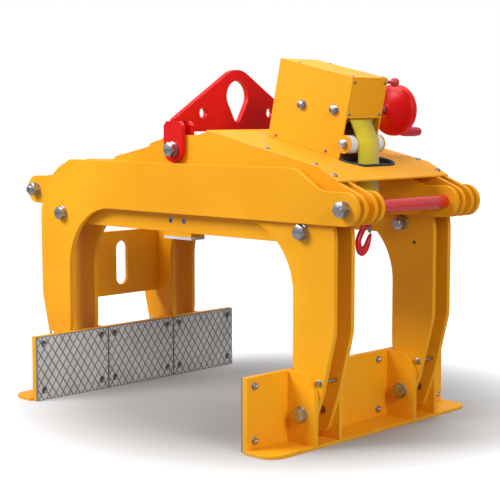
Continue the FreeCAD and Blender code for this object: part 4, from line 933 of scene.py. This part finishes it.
def makeSlotTrim():
    # a rubber bead pressed over the edge of the slot in the cover, with a sleeve that goes down inside
    setting = slotTrim
    spots = []
    for number in range(setting["points"]):
        turn = 2 * math.pi * number / setting["points"]
        shift = setting["reach"] if math.sin(turn) > 0 else -setting["reach"]
        spots.append((setting["middleX"] + setting["half"] * math.cos(turn),
                      shift + setting["half"] * math.sin(turn)))
    curve = bpy.data.curves.new("slotTrimPath", "CURVE")
    curve.dimensions = "3D"
    curve.bevel_depth = setting["bead"]
    curve.bevel_resolution = 3
    spline = curve.splines.new("POLY")
    spline.points.add(len(spots) - 1)
    for point, (x, y) in zip(spline.points, spots):
        slope = setting["flap"] if x > setting["bendX"] else setting["roof"]
        z = setting["bendZ"] - (x - setting["bendX"]) * slope - setting["drop"]
        point.co = (x, y, z, 1)
    spline.use_cyclic_u = True
    holder = bpy.data.objects.new("slotTrimPath", curve)
    mesh = bpy.data.meshes.new_from_object(holder)
    bpy.data.objects.remove(holder)
    bm = bmesh.new()
    bm.from_mesh(mesh)
    turnFacesOut(bm)
    addPiece("slotRubberTrim", bm, "root", trimRubber, 60)
    bm = bmesh.new()
    rim = [bm.verts.new(point.co.xyz) for point in spline.points]
    edges = [bm.edges.new(pair) for pair in zip(rim, rim[1:] + rim[:1])]
    made = bmesh.ops.extrude_edge_only(bm, edges=edges)["geom"]
    fresh = newVerts(made)
    bmesh.ops.translate(bm, verts=fresh, vec=(0, 0, -setting["sleeve"]))
    turnFacesOut(bm)
    sleeve = addPiece("slotRubberSleeve", bm, "root", trimRubber, 60)
    addWall(sleeve, "sleeveWall", setting["wall"])


hookShape = {"yokeThick": 0.01, "yokeSide": 0.006, "yokeFoot": 0.033, "yokeSill": 0.021, "bar": 0.005,
             "round": 0.0018, "steps": 4, "sides": 18}
hookEar = {"thick": 0.0035, "radius": 0.0054, "hole": 0.0029, "back": 0.0095, "y": 0.0005, "drop": 0.046,
           "root": 0.8, "round": 0.00045, "share": 0.96}
# the bowl's middle line: across, drop under the bar, half width in the hook's plane, half thickness
hookSpine = ((-0.0145, 0.026, 0.0086, 0.006), (-0.0145, 0.04, 0.0086, 0.006), (-0.0182, 0.053, 0.0082, 0.0062),
             (-0.0285, 0.067, 0.008, 0.0063), (-0.0352, 0.08, 0.008, 0.0063), (-0.0345, 0.093, 0.0088, 0.0064),
             (-0.0295, 0.1025, 0.0102, 0.0064), (-0.0215, 0.1063, 0.011, 0.0064), (-0.0125, 0.103, 0.0102, 0.0064),
             (-0.0046, 0.0945, 0.0088, 0.0062), (0.0005, 0.085, 0.0072, 0.0058), (0.0048, 0.0755, 0.0054, 0.005),
             (0.0098, 0.0672, 0.0032, 0.0032))


def addSlab(bm, outline, x, thick, rounding):
    # a flat plate from its outline in y and z, with all its edges rounded
    face = bm.faces.new([bm.verts.new((x - thick / 2, y, z)) for y, z in outline])
    made = bmesh.ops.extrude_face_region(bm, geom=[face])["geom"]
    fresh = newVerts(made)
    bmesh.ops.translate(bm, verts=fresh, vec=(thick, 0, 0))
    edges = edgesOf(list(face.verts) + fresh)
    bmesh.ops.bevel(bm, geom=edges, offset=rounding, offset_type="OFFSET", affect="EDGES", segments=3,
                    profile=0.5, material=-1)


def smoothed(spots, steps):
    # points on a smooth curve through the spots
    spots = [Vector(spot) for spot in spots]
    spots = [2 * spots[0] - spots[1]] + spots + [2 * spots[-1] - spots[-2]]
    line = []
    for first, start, end, last in zip(spots, spots[1:], spots[2:], spots[3:]):
        bend = 2 * first - 5 * start + 4 * end - last
        twist = 3 * start - first - 3 * end + last
        for share in (number / steps for number in range(steps)):
            line.append(0.5 * (2 * start + (end - first) * share + bend * share ** 2 + twist * share ** 3))
    return line + [spots[-2]]


def addHookEar(bm, x, z):
    # a ring for the latch's axle, joined to the neck by a small web
    setting = hookEar
    thick, hole, radius, y = setting["thick"], setting["hole"], setting["radius"], setting["y"]
    ring = [(0, hole), (0, radius), (thick, radius), (thick, hole)]
    turnProfile(bm, ring, facing((x - thick / 2, y, z), (1, 0, 0)), 24, closed=True)
    back = y - setting["back"]
    front = y - hole - setting["round"]
    reach = radius * setting["root"]
    addSlab(bm, ((back, z - reach), (front, z - reach), (front, z + reach), (back, z + reach)), x,
            thick * setting["share"], setting["round"])


def makeHook():
    # a forged hook under its yoke, drawn in at the neck, deep in the bowl and tapered to the point
    setting = hookShape
    low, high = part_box("hook")
    middleX = (low.x + high.x) / 2
    barZ = high.z - setting["bar"]
    outer = high.y
    inner = outer - setting["yokeSide"]
    foot = barZ - setting["yokeFoot"]
    sill = barZ - setting["yokeSill"]
    bm = bmesh.new()
    addSlab(bm, ((-outer, foot), (outer, foot), (outer, high.z), (inner, high.z), (inner, sill), (-inner, sill),
                 (-inner, high.z), (-outer, high.z)), middleX, setting["yokeThick"], setting["round"])
    turnProfile(bm, [(0, 0), (0, setting["bar"]), (2 * inner, setting["bar"]), (2 * inner, 0)],
                facing((middleX, -inner, barZ), (0, 1, 0)), 24)
    line = smoothed(hookSpine, setting["steps"])
    before = None
    for number, spot in enumerate(line):
        ahead = line[min(number + 1, len(line) - 1)] - line[max(number - 1, 0)]
        along = Vector((0, ahead[0], -ahead[1])).normalized()
        across = Vector((0, along.z, -along.y)) * spot[2]
        frameOf = Matrix((across, Vector((spot[3], 0, 0)), along)).transposed().to_4x4()
        place = Matrix.Translation((middleX, spot[0], barZ - spot[1])) @ frameOf
        ring = bmesh.ops.create_circle(bm, cap_ends=number in (0, len(line) - 1), segments=setting["sides"],
                                       radius=1.0, matrix=place)["verts"]
        loop = edgesOf(ring)
        if before:
            bmesh.ops.bridge_loops(bm, edges=before + loop)
        before = loop
    for side in (-1, 1):
        addHookEar(bm, middleX + side * (high.x - low.x - hookEar["thick"]) / 2, barZ - hookEar["drop"])
    addSolid("liftingHook", bm, "hook", hookPaint, 50, "hook")


# black discs for small holes in the legs: painted shade
armHoleShades = {"x": 0.46, "z": 0.438, "radius": 0.0042, "proud": 0.0005, "taper": 0.92}


def makeArmHoleShades():
    # small black discs on the legs' inner plates, standing for small holes: their black is painted shade inside the
    # holes
    setting = armHoleShades
    for arm, side in (("left_arm", -1), ("right_arm", 1)):
        bm = bmesh.new()
        for name, out in (("near", 1), ("far", -1)):
            low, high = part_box("%s_inner_%s_plate" % (arm, name))
            y = high.y if out > 0 else low.y
            profile = [(0, 0), (0, setting["radius"]), (setting["proud"], setting["radius"] * setting["taper"]),
                       (setting["proud"], 0)]
            turnProfile(bm, profile, facing((side * setting["x"], y, setting["z"]), (0, out, 0)), 20)
        addPiece(arm + "HoleShades", bm, arm, trimRubber)


woundStrap = {"core": 0.0222, "pitch": 0.003, "thick": 0.0025, "stepsATurn": 40, "width": 0.075, "spare": 0.45}


def makeWoundStrap():
    # the strap's spare length, wound on the drum as one spiral
    setting = woundStrap
    roll = centreOf("strap_roll")
    turns = (strapRun["rollRadius"] - setting["core"]) / setting["pitch"] - setting["spare"]
    y = -setting["width"] / 2
    bm = bmesh.new()
    vert = bm.verts.new((roll.x, y, roll.z - setting["core"] - setting["pitch"] / 2))
    for number in range(1, int(turns * setting["stepsATurn"]) + 1):
        vert = bmesh.ops.extrude_vert_indiv(bm, verts=[vert])["verts"][0]
        part = number / setting["stepsATurn"]
        radius = setting["core"] + setting["pitch"] * (part + 0.5)
        turn = 2 * math.pi * part
        vert.co = (roll.x + radius * math.sin(turn), y, roll.z - radius * math.cos(turn))
    total = finishWeb(bm, y, setting["width"])
    piece = addPiece("woundStrap", bm, "drum", webbing, 60)
    addWall(piece, "webThickness", setting["thick"])
    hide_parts("strap_roll")
    return total


panelLip = {"along": 0.229, "up": 0.0968, "profile": bothWays([(0.0586, 0.0026), (0.0592, 0.002), (0.0592, 0)])}


def makePanelLip():
    # the folded lower edge of the front panel
    bm = bmesh.new()
    turnProfile(bm, panelLip["profile"], facing(onRoof(panelLip["along"], 0, panelLip["up"]), (0, 1, 0)), 20)
    addSolid("panelFoldedLip", bm, "root", yellowPaint, 40)


makeFrameBolts()
makeLegBolts()
makeJawHardware()
print("bolts, nuts and pins made")
makePads()
print("tread pads made")
makeCoverScrews()
makeStopScrews()
makeWinchScrews()
makeWinchBolts()
makeGears()
makeCrankPieces()
makeKnob()
makeSlotTrim()
makePanelLip()
makeHook()
makeArmHoleShades()
print("winch pieces made")
print("strap made, %.3f m long and %.3f m wound up" % (makeStrap(), makeWoundStrap()))

# stage
cameraSettings = {"place": (2.351, -2.374, 0.748), "pitch": 6.0, "roll": 0.04, "azimuth": 44.09, "lens": 94.03}


def makeCamera():
    setting = cameraSettings
    camera = bpy.data.cameras.new("studioCamera")
    camera.lens = setting["lens"]
    camera.sensor_width = 36.0
    camera.clip_end = 100.0
    holder = addObject("studioCamera", camera)
    holder.location = setting["place"]
    holder.rotation_euler = [math.radians(angle) for angle in (90 - setting["pitch"], setting["roll"],
                                                               setting["azimuth"])]
    scene.camera = holder


# the floor's glow to the camera rises from the first glow at near to farGlow at far, measured from middle: the dim
# ring is a painted shadow round the clamp
floorSettings = {"near": 0.36, "far": 1.0, "paintedShadowGlow": 0.03, "farGlow": 1.0, "base": (0.37, 0.37, 0.37, 1),
                 "middle": (0.08, 0.08, 0), "radius": 14.0}


def addMixShader(tree, factor, first, second):
    return addNode(tree, "MixShader", {0: factor, 1: first, 2: second}).outputs[0]


def makeFloor():
    # a pale floor that goes over into the white of the studio away from the clamp: its glow to the camera is small
    # near the clamp, a painted shadow round it
    setting = floorSettings
    bm = bmesh.new()
    bmesh.ops.create_circle(bm, cap_ends=True, segments=96, radius=setting["radius"])
    mesh = meshFrom(bm, "studioFloor")
    floor = addObject("studioFloor", mesh)
    material, tree, shader = newMaterial("paleFloorWithPaintedShadow", Roughness=0.85, Specular_IOR_Level=0.1,
                                         Base_Color=setting["base"], Emission_Color=(1, 1, 1, 1))
    coords = addNode(tree, "TexCoord")
    shifted = addNode(tree, "VectorMath", {0: coords.outputs["Object"], 1: setting["middle"]},
                      operation="SUBTRACT")
    away = addNode(tree, "VectorMath", {0: shifted.outputs[0]}, operation="LENGTH")
    glowWithPaintedShadow = addSpread(tree, away.outputs["Value"], setting["near"], setting["far"], setting["paintedShadowGlow"],
                     setting["farGlow"])
    path = addNode(tree, "LightPath")
    seen = addMath(tree, "MULTIPLY", glowWithPaintedShadow, path.outputs["Is Camera Ray"])
    tree.links.new(seen, shader.inputs["Emission Strength"])
    mesh.materials.append(material)


lightSettings = {
    "key": {"place": (-1.7, -2.9, 2.9), "aim": (0.0, 0.0, 0.4), "size": 2.0, "power": 178},
    "side": {"place": (3.5, -0.9, 2.0), "aim": (0.2, 0.0, 0.5), "size": 1.6, "power": 68},
    "top": {"place": (-0.2, 0.8, 3.4), "aim": (0.0, 0.0, 0.2), "size": 2.4, "power": 76},
}


# how bright the white around the studio is to the camera, to gloss and to all else
worldGlow = {"seen": 1.0, "gloss": 0.5, "soft": 0.13}


def makeLights():
    for name, setting in lightSettings.items():
        light = bpy.data.lights.new(name + "Light", "AREA")
        light.shape = "SQUARE"
        light.size = setting["size"]
        light.energy = setting["power"]
        holder = addObject(name + "Light", light)
        holder.location = setting["place"]
        aim = Vector(setting["aim"]) - Vector(setting["place"])
        holder.rotation_euler = aim.to_track_quat("-Z", "Y").to_euler()
    world = bpy.data.worlds.new("studioWorld")
    scene.world = world
    world.use_nodes = True
    tree = world.node_tree
    tree.nodes.clear()
    seen, gloss, soft = [addNode(tree, "Background", {"Color": (1, 1, 1, 1), "Strength": worldGlow[part]}).outputs[0]
                         for part in ("seen", "gloss", "soft")]
    path = addNode(tree, "LightPath")
    mirrored = addMixShader(tree, path.outputs["Is Glossy Ray"], soft, gloss)
    mixed = addMixShader(tree, path.outputs["Is Camera Ray"], mirrored, seen)
    tree.links.new(mixed, addNode(tree, "OutputWorld").inputs["Surface"])
    scene.view_settings.view_transform = "Standard"


makeCamera()
makeFloor()
makeLights()
bpy.context.view_layer.update()
print("stage set")
